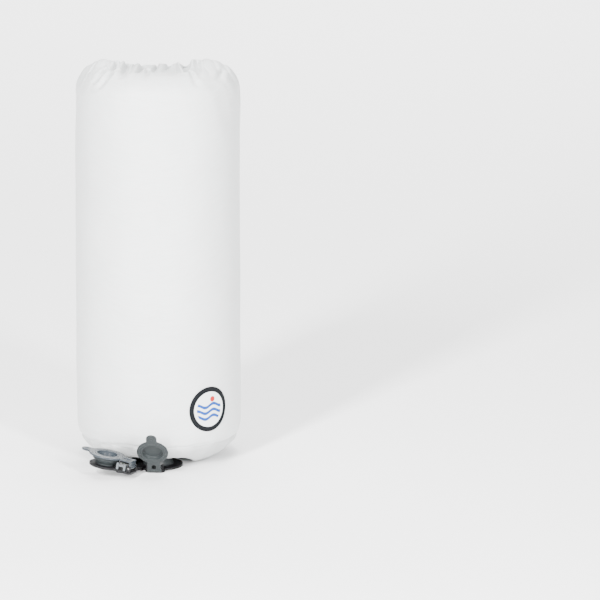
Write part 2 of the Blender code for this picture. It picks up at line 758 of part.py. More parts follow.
def make_check_valve(moulded, silicone, frame):
    """The cross grid in the inflate bore and the one-way flap under it, hinged at the back."""
    high = POCKET_FLOOR - GAP
    low = high - GRID_THICKNESS
    radius = BORE_RADIUS - GAP
    opening = radius - GRID_BAR
    grid = add_object("flap_grid", turned("flap_grid", [
        (opening, low), (radius, low), (radius, high), (opening, high),
    ], 24), moulded, frame)
    for name, size in (
        ("grid_bar_x", (2 * opening + GRID_BAR, GRID_BAR, GRID_THICKNESS - 0.0002)),
        ("grid_bar_y", (GRID_BAR, 2 * opening + GRID_BAR, GRID_THICKNESS - 0.0004)),
    ):
        bar = block(name, size, (0, 0, (low + high) / 2))
        boolean(grid, add_object(name, bar, None, frame), "UNION")
    flap_radius = radius - GAP
    flap_high = low - GAP
    flap = turned("check_flap", [
        (0, -FLAP_THICKNESS), (flap_radius, -FLAP_THICKNESS), (flap_radius, 0), (0, 0),
    ], 24)
    flap.transform(Matrix.Translation((0, -flap_radius, 0)))
    add_object("check_flap", flap, silicone, frame, at=(0, flap_radius, flap_high))


def make_strap_hook(moulded, frame):
    """An H-shaped post on the deflate lobe, over which a strap's slot hooks when its cap is stowed."""
    peg, apart, high = 0.0026, 0.0090, 0.008
    turn = Matrix.Translation((-STRAP_WIDTH / 2 - 0.0013, -0.024, 0)) @ Matrix.Rotation(math.pi / 2, 4, "Z")
    parts = (
        ("strap_hook", (apart, 0.0018, 0.0022), (0, 0, 0.0052)),
        ("strap_hook_left", (peg, 0.0030, high - GAP), (-apart / 2, 0, (high + GAP) / 2)),
        ("strap_hook_right", (peg, 0.0030, high - GAP), (apart / 2, 0, (high + GAP) / 2)),
    )
    hook = None
    for name, size, centre in parts:
        mesh = block(name, size, centre)
        mesh.transform(turn)
        made = add_object(name, mesh, moulded if hook is None else None, frame)
        if hook is None:
            hook = made
        else:
            boolean(hook, made, "UNION")


def main():
    clear_scene()
    fabric = material("sack_fabric", (0.86, 0.87, 0.87), 0.55)
    vinyl = material("patch", (0.05, 0.16, 0.30), 0.5)
    webbing = material("webbing", (0.08, 0.09, 0.10), 0.8)
    stiff = material("stiffener", (0.75, 0.75, 0.72), 0.5)
    plastic = material("buckle_plastic", (0.07, 0.075, 0.08), 0.4)
    moulded = material("grey_moulding", (0.14, 0.155, 0.165), 0.45)
    rubber = material("dark_flange", (0.045, 0.045, 0.048), 0.6)
    silicone = material("silicone", (0.55, 0.57, 0.58), 0.4)
    steel = material("pin_steel", (0.62, 0.63, 0.65), 0.3, 1.0)

    make_sack_shell(fabric)
    make_label_patch(vinyl)
    make_seam_tape(fabric)
    make_nozzle(moulded, fabric)
    make_roll(fabric, stiff)
    make_buckle(plastic, webbing)

    inflate, deflate = valve_frames()
    bpy.context.view_layer.update()
    make_valve_base(rubber, inflate, deflate)
    make_port("inflate_port", COLLAR_RADIUS + 0.0015, moulded, inflate)
    make_port("deflate_port", COLLAR_RADIUS - 0.0045, moulded, deflate)
    make_seal("inflate_seal", silicone, inflate)
    make_seal("deflate_seal", silicone, deflate)
    make_bracket("inflate_bracket", moulded, steel, inflate)
    make_bracket("deflate_bracket", moulded, steel, deflate)
    make_check_valve(moulded, silicone, inflate)
    make_cap("inflate_cap", INFLATE_CAP_RADIUS, moulded, inflate, INFLATE_CAP_OPEN)
    make_cap("deflate_cap", DEFLATE_CAP_RADIUS, moulded, deflate, 0)
    make_strap_hook(moulded, deflate)


main()
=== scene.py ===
"""Finished looks for the upright air sack and its twin mattress valve, laid out as an add-on."""

import math

import bmesh
import bpy
import numpy as np
from mathutils import Matrix, Vector


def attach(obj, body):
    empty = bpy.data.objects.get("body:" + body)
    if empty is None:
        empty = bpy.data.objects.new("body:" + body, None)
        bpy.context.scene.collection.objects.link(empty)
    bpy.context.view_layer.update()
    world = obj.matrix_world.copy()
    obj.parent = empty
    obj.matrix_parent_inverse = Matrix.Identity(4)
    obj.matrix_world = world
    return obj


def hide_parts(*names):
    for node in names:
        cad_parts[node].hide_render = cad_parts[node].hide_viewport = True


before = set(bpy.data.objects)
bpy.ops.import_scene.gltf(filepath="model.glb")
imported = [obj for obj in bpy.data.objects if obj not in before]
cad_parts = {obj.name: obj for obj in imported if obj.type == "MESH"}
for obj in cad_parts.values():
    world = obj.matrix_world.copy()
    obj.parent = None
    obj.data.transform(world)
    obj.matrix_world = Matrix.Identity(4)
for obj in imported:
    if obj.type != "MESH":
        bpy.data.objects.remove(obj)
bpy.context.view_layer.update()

bl_info = {
    "name": "Upright Air Sack",
    "version": (1, 0, 0),
    "blender": (4, 5, 0),
    "location": "3D View > Sidebar > Air Sack",
    "description": "Fabric, closure, valve and studio for an upright air sack",
    "category": "Add Mesh",
}

# Sack, as the model holds it
RADIUS = 0.097
HEIGHT = 0.476
FABRIC = 0.0012
BASE_CORNER = 0.047
SHOULDER_HEIGHT = 0.040
FRONT_SHOULDER = 0.037
BACK_SHOULDER = 0.019
BACK_DROP = 0.018
BACK_BLEND = 0.050
SHOULDER_FULLNESS = 0.77
CREST = 0.470
CREST_Y = -0.010
EAR_RISE = 0.0069
EAR_OFFSET = 0.060
EAR_WIDTH = 0.024
EAR_DEPTH = 0.020
SEAT_HEIGHT = 0.0151
SEAT_RADIUS = 0.0257
SEAT_FADE = 0.019
HOLE_RADIUS = 0.0141
SEAM_HEIGHT = 0.0285
CREASE_STRENGTH = 2.1

# Closure loop
ROLL_FRONT_Y = 0.010
ROLL_BACK_Y = 0.066
ROLL_BEND = 0.028
ROLL_STRAIGHT = 0.090
ROLL_GAP = 0.052
ROLL_SLOPE = 0.25
ROLL_WIDTH = 0.010
ROLL_TALL = 0.012
ROLL_TOP = 0.457
ROLL_SEAT = 0.003
WEBBING_WIDTH = 0.013
WEBBING_THICKNESS = 0.0014
STITCH_ROWS = (0.0035, 0.0235)
STITCH_LENGTH = 0.0032

# Badge: where it is on the wall, and its pattern in units of its radius
BADGE_ANGLE = math.radians(38.5)
BADGE_HEIGHT = 0.0725
BADGE_BORDER = 0.78
BADGE_THREADS = 110
WAVE_LEVELS = (-0.36, -0.10, 0.16)

# Valve, in each port's own frame
BASE_THICKNESS = 0.0025
INFLATE_AT = Vector((0, -0.057, BASE_THICKNESS))
DEFLATE_AT = Vector((-0.0604, -0.1051, 0.0115 + BASE_THICKNESS))
INFLATE_YAW = math.radians(-5)
DEFLATE_YAW = math.radians(67)
DEFLATE_TILT = math.radians(10)
COLLAR_HEIGHT = 0.010
COLLAR_RADIUS = 0.0165
POCKET_RADIUS = 0.0138
POCKET_FLOOR = 0.0052
BORE_RADIUS = 0.009
INFLATE_FOOT = 0.0180
DEFLATE_FOOT = 0.0120
INFLATE_CAP_RADIUS = 0.0185
DEFLATE_CAP_RADIUS = 0.0215
CAP_BOTTOM = 0.0103
CAP_TOP = 0.0125
PLUG_RADIUS = 0.0135
PLUG_END = 0.0066
RECESS_RADIUS = 0.01225
RECESS_STEP = 0.0011
TAB_LENGTH = 0.011
TAB_WIDTH = 0.0125
STRAP_REACH = 0.0335
STRAP_WIDTH = 0.0155
STRAP_THICKNESS = 0.002
HINGE_HEIGHT = 0.004
BARREL_RADIUS = 0.0018
SLOT_LENGTH, SLOT_WIDTH = 0.0085, 0.005
STRAP_END_TO_SLOT = 0.003
INFLATE_OPEN = math.radians(124)

DUST_COLOUR = (0.16, 0.155, 0.15, 1)

# Folds pressed into the gathered top: x and distance before the crest where each starts and ends,
# depth, and half width at the start and at the end, all in metres
TOP_CREASES = (
    (0.0330, 0.000, 0.0345, 0.050, 0.0064, 0.0044, 0.0012),
    (-0.0150, 0.002, -0.0210, 0.046, 0.0030, 0.0022, 0.0026),
    (-0.0330, 0.002, -0.0405, 0.064, 0.0026, 0.0022, 0.0034),
    (-0.0450, 0.006, -0.0520, 0.036, 0.0030, 0.0026, 0.0030),
    (-0.0450, 0.036, -0.0640, 0.072, 0.0026, 0.0022, 0.0034),
    (-0.0580, 0.026, -0.0700, 0.058, 0.0020, 0.0020, 0.0030),
    (0.0000, 0.000, -0.0040, 0.046, 0.0022, 0.0020, 0.0030),
    (0.0127, 0.000, 0.0086, 0.044, 0.0022, 0.0020, 0.0030),
    (0.0210, 0.000, 0.0240, 0.046, 0.0016, 0.0018, 0.0028),
    (0.0470, 0.004, 0.0500, 0.060, 0.0018, 0.0020, 0.0034),
    (-0.0090, 0.030, -0.0130, 0.070, 0.0014, 0.0018, 0.0034),
    (0.0400, 0.044, 0.0470, 0.078, 0.0014, 0.0020, 0.0036),
    (0.0780, 0.020, 0.0720, 0.052, 0.0014, 0.0024, 0.0036),
)


# --- Sizes and colours that a user would change ---


def colour_of(label, default, description):
    return bpy.props.FloatVectorProperty(
        name=label, description=description, subtype="COLOR", size=3, min=0, max=1, default=default
    )


def length_of(label, default, description):
    return bpy.props.FloatProperty(
        name=label, description=description, unit="LENGTH", subtype="DISTANCE", default=default, precision=5
    )


class SackSettings(bpy.types.PropertyGroup):
    colour: colour_of("Fabric", (0.60, 0.614, 0.613), "Colour of the coated fabric")
    gather: length_of("Gather Depth", 0.0030, "How deep the small gathers at the crest are")
    gather_spacing: length_of("Gather Spacing", 0.0125, "Distance from one gather to the next")
    sway: length_of("Wall Sway", 0.0012, "How far the inflated wall swells in and out")
    seam_pucker: length_of("Seam Pucker", 0.0014, "Depth of the puckers along the base seam")
    thread: length_of("Thread Spacing", 0.00085, "Distance between threads of the fabric")


class ClosureSettings(bpy.types.PropertyGroup):
    webbing: colour_of("Webbing", (0.020, 0.021, 0.023), "Colour of the webbing tabs")
    buckle: colour_of("Buckle", (0.014, 0.015, 0.016), "Colour of the buckle")
    stitch: colour_of("Stitching", (0.62, 0.64, 0.64), "Colour of the sewing thread")


class BadgeSettings(bpy.types.PropertyGroup):
    ring: colour_of("Border", (0.002, 0.0025, 0.0035), "Colour of the stitched border")
    field: colour_of("Field", (0.70, 0.72, 0.73), "Colour of the badge's field")
    motif: colour_of("Waves", (0.008, 0.050, 0.24), "Colour of the three waves")
    accent: colour_of("Accent", (0.34, 0.010, 0.010), "Colour of the dot above the waves")
    radius: length_of("Radius", 0.0268, "Radius of the badge")


class ValveSettings(bpy.types.PropertyGroup):
    moulding: colour_of("Moulding", (0.020, 0.0235, 0.0245), "Colour of the ports and the open cap")
    cap: colour_of("Closed Cap", (0.030, 0.036, 0.043), "Colour of the closed cap")
    clip: colour_of("Clip", (0.075, 0.083, 0.090), "Colour of the strap hook")
    flange: colour_of("Flange", (0.006, 0.006, 0.007), "Colour of the base plate and brackets")


class StageSettings(bpy.types.PropertyGroup):
    floor: colour_of("Floor", (0.90, 0.90, 0.90), "Colour of the floor")
    distance: length_of("Camera Distance", 7.0, "Distance from the camera to the object")
    lens: bpy.props.FloatProperty(
        name="Lens", description="Focal length of the camera", unit="CAMERA", default=356.0
    )
    down: bpy.props.FloatProperty(
        name="Looking Down", description="Angle of the camera above the horizon",
        subtype="ANGLE", unit="ROTATION", default=math.radians(13),
    )


# --- Numbers: steps and noise ---


def smooth_step(value):
    """Held between 0 and 1, then 3v squared less 2v cubed."""
    held = np.clip(value, 0, 1)
    return held * held * (3 - 2 * held)


def bell(value, width):
    """1 in the middle, falling away on both sides: e to the power of minus the square of value / width."""
    return np.exp(-((value / width) ** 2))


def wrapped(angle):
    """The same angle, from minus half a turn to half a turn."""
    return np.angle(np.exp(1j * angle))


def noise_1d(x, spacing, seed):
    """Seeded random heights from -1 to 1 at every whole step of x / spacing, joined by smooth steps."""
    table = np.random.default_rng(seed).uniform(-1, 1, 512)
    place = x / spacing
    low = np.floor(place).astype(int)
    share = smooth_step(place - low)
    return table[low % 512] * (1 - share) + table[(low + 1) % 512] * share


def noise_2d(x, y, spacing, seed):
    """Seeded random heights from -1 to 1 at the corners of a square grid, joined by smooth steps."""
    table = np.random.default_rng(seed).uniform(-1, 1, (64, 64))
    px, py = x / spacing, y / spacing
    lx, ly = np.floor(px).astype(int), np.floor(py).astype(int)
    sx, sy = smooth_step(px - lx), smooth_step(py - ly)
    low = table[lx % 64, ly % 64] * (1 - sx) + table[(lx + 1) % 64, ly % 64] * sx
    high = table[lx % 64, (ly + 1) % 64] * (1 - sx) + table[(lx + 1) % 64, (ly + 1) % 64] * sx
    return low * (1 - sy) + high * sy


def around_noise(angle, along, radius, spacing, seed):
    """Noise on a cylinder without a seam: the mean of two noises taken at the sine and at the cosine."""
    first = noise_2d(radius * np.cos(angle) + 1.0, along + 1.0, spacing, seed)
    second = noise_2d(radius * np.sin(angle) + 2.0, along + 3.0, spacing, seed + 1)
    return 0.5 * (first + second)


# --- Meshes from grids ---


def grid_mesh(name, points, close_columns=True, close_rows=False, uv=None, poles=False, place=None):
    """Points of shape (rows, columns, 3) joined into quads. Columns or rows may close on themselves;
    the first and last row may be poles, whose points are one and whose quads become triangles. uv
    holds u and v for the points, as arrays one longer than the closed side. place moves the mesh."""
    rows, columns = points.shape[:2]
    i = np.arange(rows if close_rows else rows - 1)[:, None]
    j = np.arange(columns if close_columns else columns - 1)[None, :]
    after_i, after_j = (i + 1) % rows, (j + 1) % columns
    quads = np.stack([
        i * columns + j, i * columns + after_j, after_i * columns + after_j, after_i * columns + j,
    ], axis=-1)
    quads = np.broadcast_to(quads, (i.size, j.size, 4)).reshape(-1, 4)
    mesh = bpy.data.meshes.new(name)
    mesh.vertices.add(rows * columns)
    mesh.vertices.foreach_set("co", np.ascontiguousarray(points, dtype=np.float32).ravel())
    mesh.loops.add(quads.size)
    mesh.loops.foreach_set("vertex_index", quads.astype(np.int32).ravel())
    mesh.polygons.add(len(quads))
    mesh.polygons.foreach_set("loop_start", np.arange(0, quads.size, 4, dtype=np.int32))
    if uv is not None:
        u, v = uv
        corners = np.stack([
            np.stack([u[i + down, j + on], v[i + down, j + on]], -1)
            for down, on in ((0, 0), (0, 1), (1, 1), (1, 0))
        ], axis=2)
        layer = mesh.uv_layers.new(name="Cloth")
        layer.uv.foreach_set("vector", corners.astype(np.float32).ravel())
    mesh.update(calc_edges=True)
    shape = bmesh.new()
    shape.from_mesh(mesh)
    if poles:
        bmesh.ops.remove_doubles(shape, verts=shape.verts, dist=1e-7)
    bmesh.ops.recalc_face_normals(shape, faces=shape.faces)
    shape.to_mesh(mesh)
    shape.free()
    mesh.shade_smooth()
    if place is not None:
        mesh.transform(place)
    return mesh


def add_piece(name, mesh, finish, body, nodes=()):
    """Puts a finished mesh in the scene, at rest on its body."""
    made = bpy.data.objects.new(name, mesh)
    bpy.context.scene.collection.objects.link(made)
    mesh.materials.append(finish)
    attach(made, body)
    if nodes:
        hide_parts(*nodes)
    return made


def dress(finish, *nodes):
    """Gives carried-over nodes their finish."""
    for name in nodes:
        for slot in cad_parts[name].material_slots:
            slot.material = finish


def round_profile(corners, rounding, steps=5):
    """A profile of (radius, height) corners with each corner replaced by a quadratic curve between the
    points that lie one rounding before and after it. A corner may bring its own rounding."""
    out = []
    count = len(corners)
    for index, corner in enumerate(corners):
        here = np.array(corner[:2], float)
        size = corner[2] if len(corner) > 2 else rounding
        before = np.array(corners[(index - 1) % count][:2], float)
        after = np.array(corners[(index + 1) % count][:2], float)
        if size == 0:
            out.append(here[None])
            continue
        back, on = before - here, after - here
        size_back = min(size, 0.45 * np.linalg.norm(back))
        size_on = min(size, 0.45 * np.linalg.norm(on))
        start = here + back / np.linalg.norm(back) * size_back
        end = here + on / np.linalg.norm(on) * size_on
        t = np.linspace(0, 1, steps)[:, None]
        out.append((1 - t) ** 2 * start + 2 * t * (1 - t) * here + t * t * end)
    return np.concatenate(out)


def turned(name, corners, rounding, segments, place):
    """A rounded profile turned about Z: x is radius times cosine, y is radius times sine."""
    profile = round_profile(corners, rounding)
    angles = np.linspace(0, 2 * math.pi, segments, endpoint=False)[None, :]
    radius = profile[:, :1]
    points = np.stack(np.broadcast_arrays(
        radius * np.cos(angles), radius * np.sin(angles), profile[:, 1:2],
    ), axis=-1)
    return grid_mesh(name, points, close_rows=True, place=place)


def with_poles(points):
    """A grid with a row before its first and after its last, each at the middle of its neighbour."""
    ends = [np.broadcast_to(row.mean(axis=1, keepdims=True), row.shape) for row in (points[:1], points[-1:])]
    return np.concatenate([ends[0], points, ends[1]])


def signed_power(value, power):
    """The power of a value's size, with the value's sign: it squares up a circle's cosine and sine."""
    return np.sign(value) * np.abs(value) ** power


# --- Node helpers and shared effects ---


class Nodes:
    """Adds nodes to a tree, wired from left to right."""

    def __init__(self, tree):
        self.tree = tree
        self.step = 0

    def add(self, kind, inputs=None, **settings):
        node = self.tree.nodes.new(kind)
        node.location = (self.step * 180 - 1400, -120 * (self.step % 5))
        self.step += 1
        for key, value in settings.items():
            setattr(node, key, value)
        for key, value in (inputs or {}).items():
            if isinstance(value, bpy.types.NodeSocket):
                self.tree.links.new(value, node.inputs[key])
            else:
                node.inputs[key].default_value = value
        return node

    def math(self, operation, *values):
        return self.add("ShaderNodeMath", dict(enumerate(values)), operation=operation).outputs[0]

    def plus(self, first, *others):
        for other in others:
            first = self.math("ADD", first, other)
        return first

    def times(self, first, second):
        return self.math("MULTIPLY", first, second)

    def minus(self, first, second):
        return self.math("SUBTRACT", first, second)

    def greatest(self, first, *others):
        for other in others:
            first = self.math("MAXIMUM", first, other)
        return first

    def size(self, value):
        return self.math("ABSOLUTE", value)

    def sine(self, value):
        return self.math("SINE", value)

    def mix(self, share, first, second):
        """Colour mix: the colour version of this node has its share at input 0, its colours at 6 and 7,
        and its result at output 2."""
        return self.add("ShaderNodeMix", {0: share, 6: first, 7: second}, data_type="RGBA").outputs[2]

    def cloth(self):
        """The cloth's own map."""
        return self.add("ShaderNodeUVMap", None, uv_map="Cloth").outputs[0]

    def place(self):
        """The place on the object."""
        return self.add("ShaderNodeTexCoord").outputs["Object"]

    def stretch(self, where, scale):
        return self.add("ShaderNodeMapping", {"Vector": where, "Scale": scale}).outputs[0]

    def noise(self, where, scale, detail=3.0, roughness=0.5):
        return self.add("ShaderNodeTexNoise", {
            "Vector": where, "Scale": scale, "Detail": detail, "Roughness": roughness,
        }).outputs["Fac"]

    def ramp(self, value, low, high, to_low=0.0, to_high=1.0):
        """Value carried from the low..high range to the other range, held at its ends."""
        return self.add("ShaderNodeMapRange", {
            "Value": value, "From Min": low, "From Max": high, "To Min": to_low, "To Max": to_high,
        }).outputs[0]


def effect(name, scale, scale_name, outputs):
    """Marks a function as the maker of a shader node group, built once, when a material first asks.
    Its inputs are a place and one number, and its outputs are what the function returns."""

    def marked(fill):
        def group():
            if name in bpy.data.node_groups:
                return bpy.data.node_groups[name]
            tree = bpy.data.node_groups.new(name, "ShaderNodeTree")
            tree.interface.new_socket("Vector", in_out="INPUT", socket_type="NodeSocketVector")
            number = tree.interface.new_socket(scale_name, in_out="INPUT", socket_type="NodeSocketFloat")
            number.default_value = scale
            for label in outputs:
                tree.interface.new_socket(label, in_out="OUTPUT", socket_type="NodeSocketFloat")
            n = Nodes(tree)
            given, out = n.add("NodeGroupInput").outputs, n.add("NodeGroupOutput").inputs
            for label, value in zip(outputs, fill(n, given["Vector"], given[scale_name])):
                tree.links.new(value, out[label])
            return tree

        return group

    return marked


@effect("Woven Threads", 0.001, "Spacing", ["Height", "Shade"])
def woven_threads(n, where, spacing):
    """Plain weave: two sets of sine threads across each other, over and under by the sign of their
    product. Height is the taller thread; Shade darkens the gaps."""
    split = n.add("ShaderNodeSeparateXYZ", {0: where}).outputs
    rate = n.math("DIVIDE", math.pi, spacing)
    u, v = n.times(split[0], rate), n.times(split[1], rate)
    warp, weft = n.size(n.sine(u)), n.size(n.sine(v))
    over = n.ramp(n.times(n.sine(n.times(u, 0.5)), n.sine(n.times(v, 0.5))), -0.2, 0.2)
    first = n.times(warp, n.plus(0.55, n.times(over, 0.45)))
    second = n.times(weft, n.minus(1.0, n.times(over, 0.45)))
    height = n.greatest(first, second)
    return height, n.ramp(height, 0.15, 0.8)


@effect("Moulded Grain", 1800.0, "Scale", ["Height", "Mottle"])
def moulded_grain(n, where, scale):
    """Fine spark-eroded grain with a few broader hollows, and a mottle for colour."""
    broad = n.noise(where, n.times(scale, 0.15), 3.0)
    return n.plus(n.noise(where, scale, 2.0, 0.6), n.times(broad, 0.6)), n.ramp(broad, 0.3, 0.7)


@effect("Handling Marks", 60.0, "Scale", ["Mask"])
def handling_marks(n, where, scale):
    """Faint scuffs: a stretched noise cut to a few thin streaks, broken up by a second noise."""
    streak = n.noise(n.stretch(where, (1.0, 0.25, 3.0)), n.times(scale, 4.0), 4.0, 0.65)
    return [n.times(n.ramp(streak, 0.60, 0.74), n.ramp(n.noise(where, scale, 2.0), 0.45, 0.65))]


@effect("Settled Dust", 160.0, "Scale", ["Mask"])
def settled_dust(n, where, scale):
    """Dust that lies on faces turned upwards: the normal's Z, broken up by noise."""
    facing = n.add("ShaderNodeSeparateXYZ", {0: n.add("ShaderNodeNewGeometry").outputs["Normal"]}).outputs[2]
    return [n.times(n.ramp(facing, 0.2, 1.0), n.ramp(n.noise(where, scale, 4.0), 0.4, 0.8))]


def new_material(name, colour, roughness, **constants):
    """A material with its shader's constants set; returns it with a node helper and its shader."""
    made = bpy.data.materials.new(name)
    made.use_nodes = True
    made.diffuse_color = (*colour, 1)
    shader = made.node_tree.nodes["Principled BSDF"]
    shader.inputs["Base Color"].default_value = (*colour, 1)
    shader.inputs["Roughness"].default_value = roughness
    for label, value in constants.items():
        shader.inputs[label.replace("_", " ")].default_value = value
    return made, Nodes(made.node_tree), shader


def place_effect(n, tree, **inputs):
    """A shared effect in a material, with that material's own values."""
    return n.add("ShaderNodeGroup", inputs, node_tree=tree).outputs


def shaded(colour, share=1.0):
    """A colour made darker or lighter by a share, with full opacity."""
    return (*[c * share for c in colour], 1)


def wire(n, shader, tint, rough, height, strength, distance):
    """Wires colour, roughness and the bump of a height into a shader."""
    bump = n.add("ShaderNodeBump", {"Strength": strength, "Distance": distance, "Height": height})
    for label, value in (("Base Color", tint), ("Roughness", rough), ("Normal", bump.outputs[0])):
        n.tree.links.new(value, shader.inputs[label])


def fabric_material(settings):
    """White coated taffeta: weave and faint streaks along the weft from the cloth's own map, a satin
    face, cloudy shade, a few scuffs, and painted shade greying the base panel below the seam, where the
    underside turns down out of the light."""
    made, n, shader = new_material(
        "Coated Taffeta", settings.colour, 0.40, Sheen_Weight=0.12, Sheen_Roughness=0.4,
        Coat_Weight=0.06, Coat_Roughness=0.45, IOR=1.46,
    )
    cloth = n.cloth()
    weave = place_effect(n, woven_threads(), Vector=cloth, Spacing=settings.thread)
    stretched = n.stretch(cloth, (0.06, 1.0, 1.0))
    streak = n.noise(stretched, 520.0, 3.0, 0.6)
    cloud = n.noise(cloth, 22.0, 3.0)
    object_at = n.place()
    marks = place_effect(n, handling_marks(), Vector=object_at, Scale=26.0)
    share = n.plus(n.times(weave["Shade"], 0.35), n.times(streak, 0.4), n.times(cloud, 0.25))
    tint = n.mix(n.ramp(share, 0.25, 0.85), shaded(settings.colour, 0.80), shaded(settings.colour, 1.10))
    tint = n.mix(n.times(marks["Mask"], 0.10), tint, shaded(settings.colour, 0.80))
    # Painted shade: below the base seam the fabric colour is darkened to stand in for the shadow on the
    # downturned underside.
    up = n.add("ShaderNodeSeparateXYZ", {0: object_at}).outputs[2]
    below = n.ramp(n.plus(up, n.times(cloud, 0.002)), SEAM_HEIGHT + 0.0015, SEAM_HEIGHT + 0.0003)
    tint = n.mix(n.times(below, 0.85), tint, shaded(settings.colour, 0.66))
    rough = n.plus(n.ramp(cloud, 0.3, 0.7, 0.36, 0.46), n.times(marks["Mask"], 0.08))
    height = n.plus(n.times(weave["Height"], 0.7), n.times(streak, 0.9))
    wire(n, shader, tint, rough, height, 0.60, 0.00026)
    return made


def stitched_fabric_material(settings, thread_colour):
    """The same taffeta for the rolled hem, with two rows of stitches along it."""
    made, n, shader = new_material(
        "Hem Taffeta", settings.colour, 0.48, Sheen_Weight=0.18, Sheen_Roughness=0.4, IOR=1.46,
    )
    cloth = n.cloth()
    weave = place_effect(n, woven_threads(), Vector=cloth, Spacing=settings.thread)
    split = n.add("ShaderNodeSeparateXYZ", {0: cloth}).outputs
    rows = n.greatest(*[n.ramp(n.size(n.minus(split[1], row)), 0.0004, 0.0002) for row in STITCH_ROWS])
    along = n.math("FRACT", n.math("DIVIDE", split[0], STITCH_LENGTH))
    stitch = n.times(rows, n.ramp(n.size(n.minus(along, 0.5)), 0.40, 0.34))
    cloud = n.noise(cloth, 60.0, 3.0)
    share = n.ramp(n.plus(n.times(cloud, 0.6), n.times(weave["Shade"], 0.4)), 0.3, 0.8)
    tint = n.mix(share, shaded(settings.colour, 0.90), shaded(settings.colour, 1.02))
    tint = n.mix(stitch, tint, shaded(thread_colour))
    height = n.plus(n.times(weave["Height"], 0.25), n.times(stitch, 1.2))
    wire(n, shader, tint, n.ramp(cloud, 0.3, 0.7, 0.42, 0.56), height, 0.35, 0.0003)
    return made


def moulded_material(
    name, colour, roughness, scale=1800.0, bump=0.10, scuff=0.04, dust=0.04, gloss=0.2,
):
    """Moulded plastic: grain in the bump, mottle in colour, scuffs that lift colour and roughness,
    and a little dust on upward faces."""
    made, n, shader = new_material(name, colour, roughness, IOR=1.47, Specular_IOR_Level=gloss)
    at = n.place()
    grain = place_effect(n, moulded_grain(), Vector=at, Scale=scale)
    marks = place_effect(n, handling_marks(), Vector=at, Scale=70.0)
    lying = place_effect(n, settled_dust(), Vector=at, Scale=160.0)
    tint = n.mix(grain["Mottle"], shaded(colour, 0.93), shaded(colour, 1.06))
    tint = n.mix(n.times(marks["Mask"], scuff), tint, (*[min(c * 2.2 + 0.02, 1) for c in colour], 1))
    tint = n.mix(n.times(lying["Mask"], dust), tint, DUST_COLOUR)
    worn = n.times(n.plus(marks["Mask"], lying["Mask"]), 0.10)
    rough = n.plus(n.ramp(grain["Mottle"], 0.0, 1.0, roughness - 0.05, roughness + 0.05), worn)
    wire(n, shader, tint, rough, grain["Height"], bump, 0.00012)
    return made


def webbing_material(settings):
    """Woven tape: coarse threads from the cloth's map, with a little fuzz."""
    made, n, shader = new_material("Webbing Weave", settings.webbing, 0.78, Sheen_Weight=0.3)
    cloth = n.cloth()
    weave = place_effect(n, woven_threads(), Vector=cloth, Spacing=0.0011)
    fuzz = n.noise(cloth, 2500.0, 3.0)
    share = n.plus(n.times(weave["Shade"], 0.7), n.times(fuzz, 0.3))
    tint = n.mix(share, shaded(settings.webbing, 0.5), shaded(settings.webbing, 1.5))
    wire(n, shader, tint, n.ramp(fuzz, 0.3, 0.7, 0.7, 0.86), weave["Height"], 0.7, 0.0004)
    return made


def badge_material(settings):
    """Badge colours by place on its own map, in units of its radius: a thread-wrapped border, a woven
    field, three waves across it and a dot above them."""
    made, n, shader = new_material("Woven Badge", settings.field, 0.75, Specular_IOR_Level=0.15)
    cloth = n.cloth()
    split = n.add("ShaderNodeSeparateXYZ", {0: cloth}).outputs
    x, y = split[0], split[1]

    def distance_from(across, up):
        dx, dy = n.minus(x, across), n.minus(y, up)
        return n.math("SQRT", n.plus(n.times(dx, dx), n.times(dy, dy)))

    far = distance_from(0.0, 0.0)
    sway = n.times(n.sine(n.times(x, 7.5)), 0.075)
    waves = n.greatest(*[
        n.ramp(n.size(n.minus(n.minus(y, level), sway)), 0.075, 0.060) for level in WAVE_LEVELS
    ])
    waves = n.times(waves, n.ramp(far, 0.66, 0.64))
    dot = n.ramp(distance_from(0.16, 0.44), 0.135, 0.115)
    weave = place_effect(n, woven_threads(), Vector=cloth, Spacing=0.022)
    tint = n.mix(weave["Shade"], shaded(settings.field, 0.80), shaded(settings.field))
    tint = n.mix(dot, n.mix(waves, tint, shaded(settings.motif)), shaded(settings.accent))
    ring = n.ramp(far, 0.775, 0.79)
    thread = n.size(n.sine(n.times(n.math("ARCTAN2", y, x), BADGE_THREADS)))
    tint = n.mix(ring, tint, n.mix(thread, shaded(settings.ring, 0.4), shaded(settings.ring, 1.8)))
    motif = n.times(n.greatest(waves, dot), 0.6)
    height = n.plus(n.times(thread, ring), n.times(weave["Height"], 0.3), motif)
    wire(n, shader, tint, n.ramp(ring, 0.0, 1.0, 0.72, 0.8), height, 0.6, 0.0002)
    return made


def metal_material():
    """Drawn steel with fine lines along its length."""
    made, n, shader = new_material("Drawn Steel", (0.60, 0.61, 0.63), 0.28, Metallic=1.0)
    at = n.place()
    stretched = n.stretch(at, (0.1, 1.0, 1.0))
    drawn = n.noise(stretched, 6000.0, 2.0)
    tint = n.mix(drawn, (0.5, 0.51, 0.53, 1), (0.7, 0.71, 0.72, 1))
    wire(n, shader, tint, n.ramp(drawn, 0.3, 0.7, 0.22, 0.38), drawn, 0.2, 0.00005)
    return made


# --- Sack surface ---


def roll_height(y):
    return ROLL_TOP - ROLL_SLOPE * (y - ROLL_FRONT_Y)


def top_height(x, y):
    """The crest with its two ears in front; behind it the bed that slopes down under the roll."""
    ear = EAR_RISE * bell(np.abs(x) - EAR_OFFSET, EAR_WIDTH)
    ear = ear * bell(y - CREST_Y, EAR_DEPTH)
    bed = roll_height(y) - ROLL_TALL / 2 - ROLL_SEAT
    behind = smooth_step((y - CREST_Y - 0.002) / 0.014)
    return (CREST + ear) * (1 - behind) + bed * behind


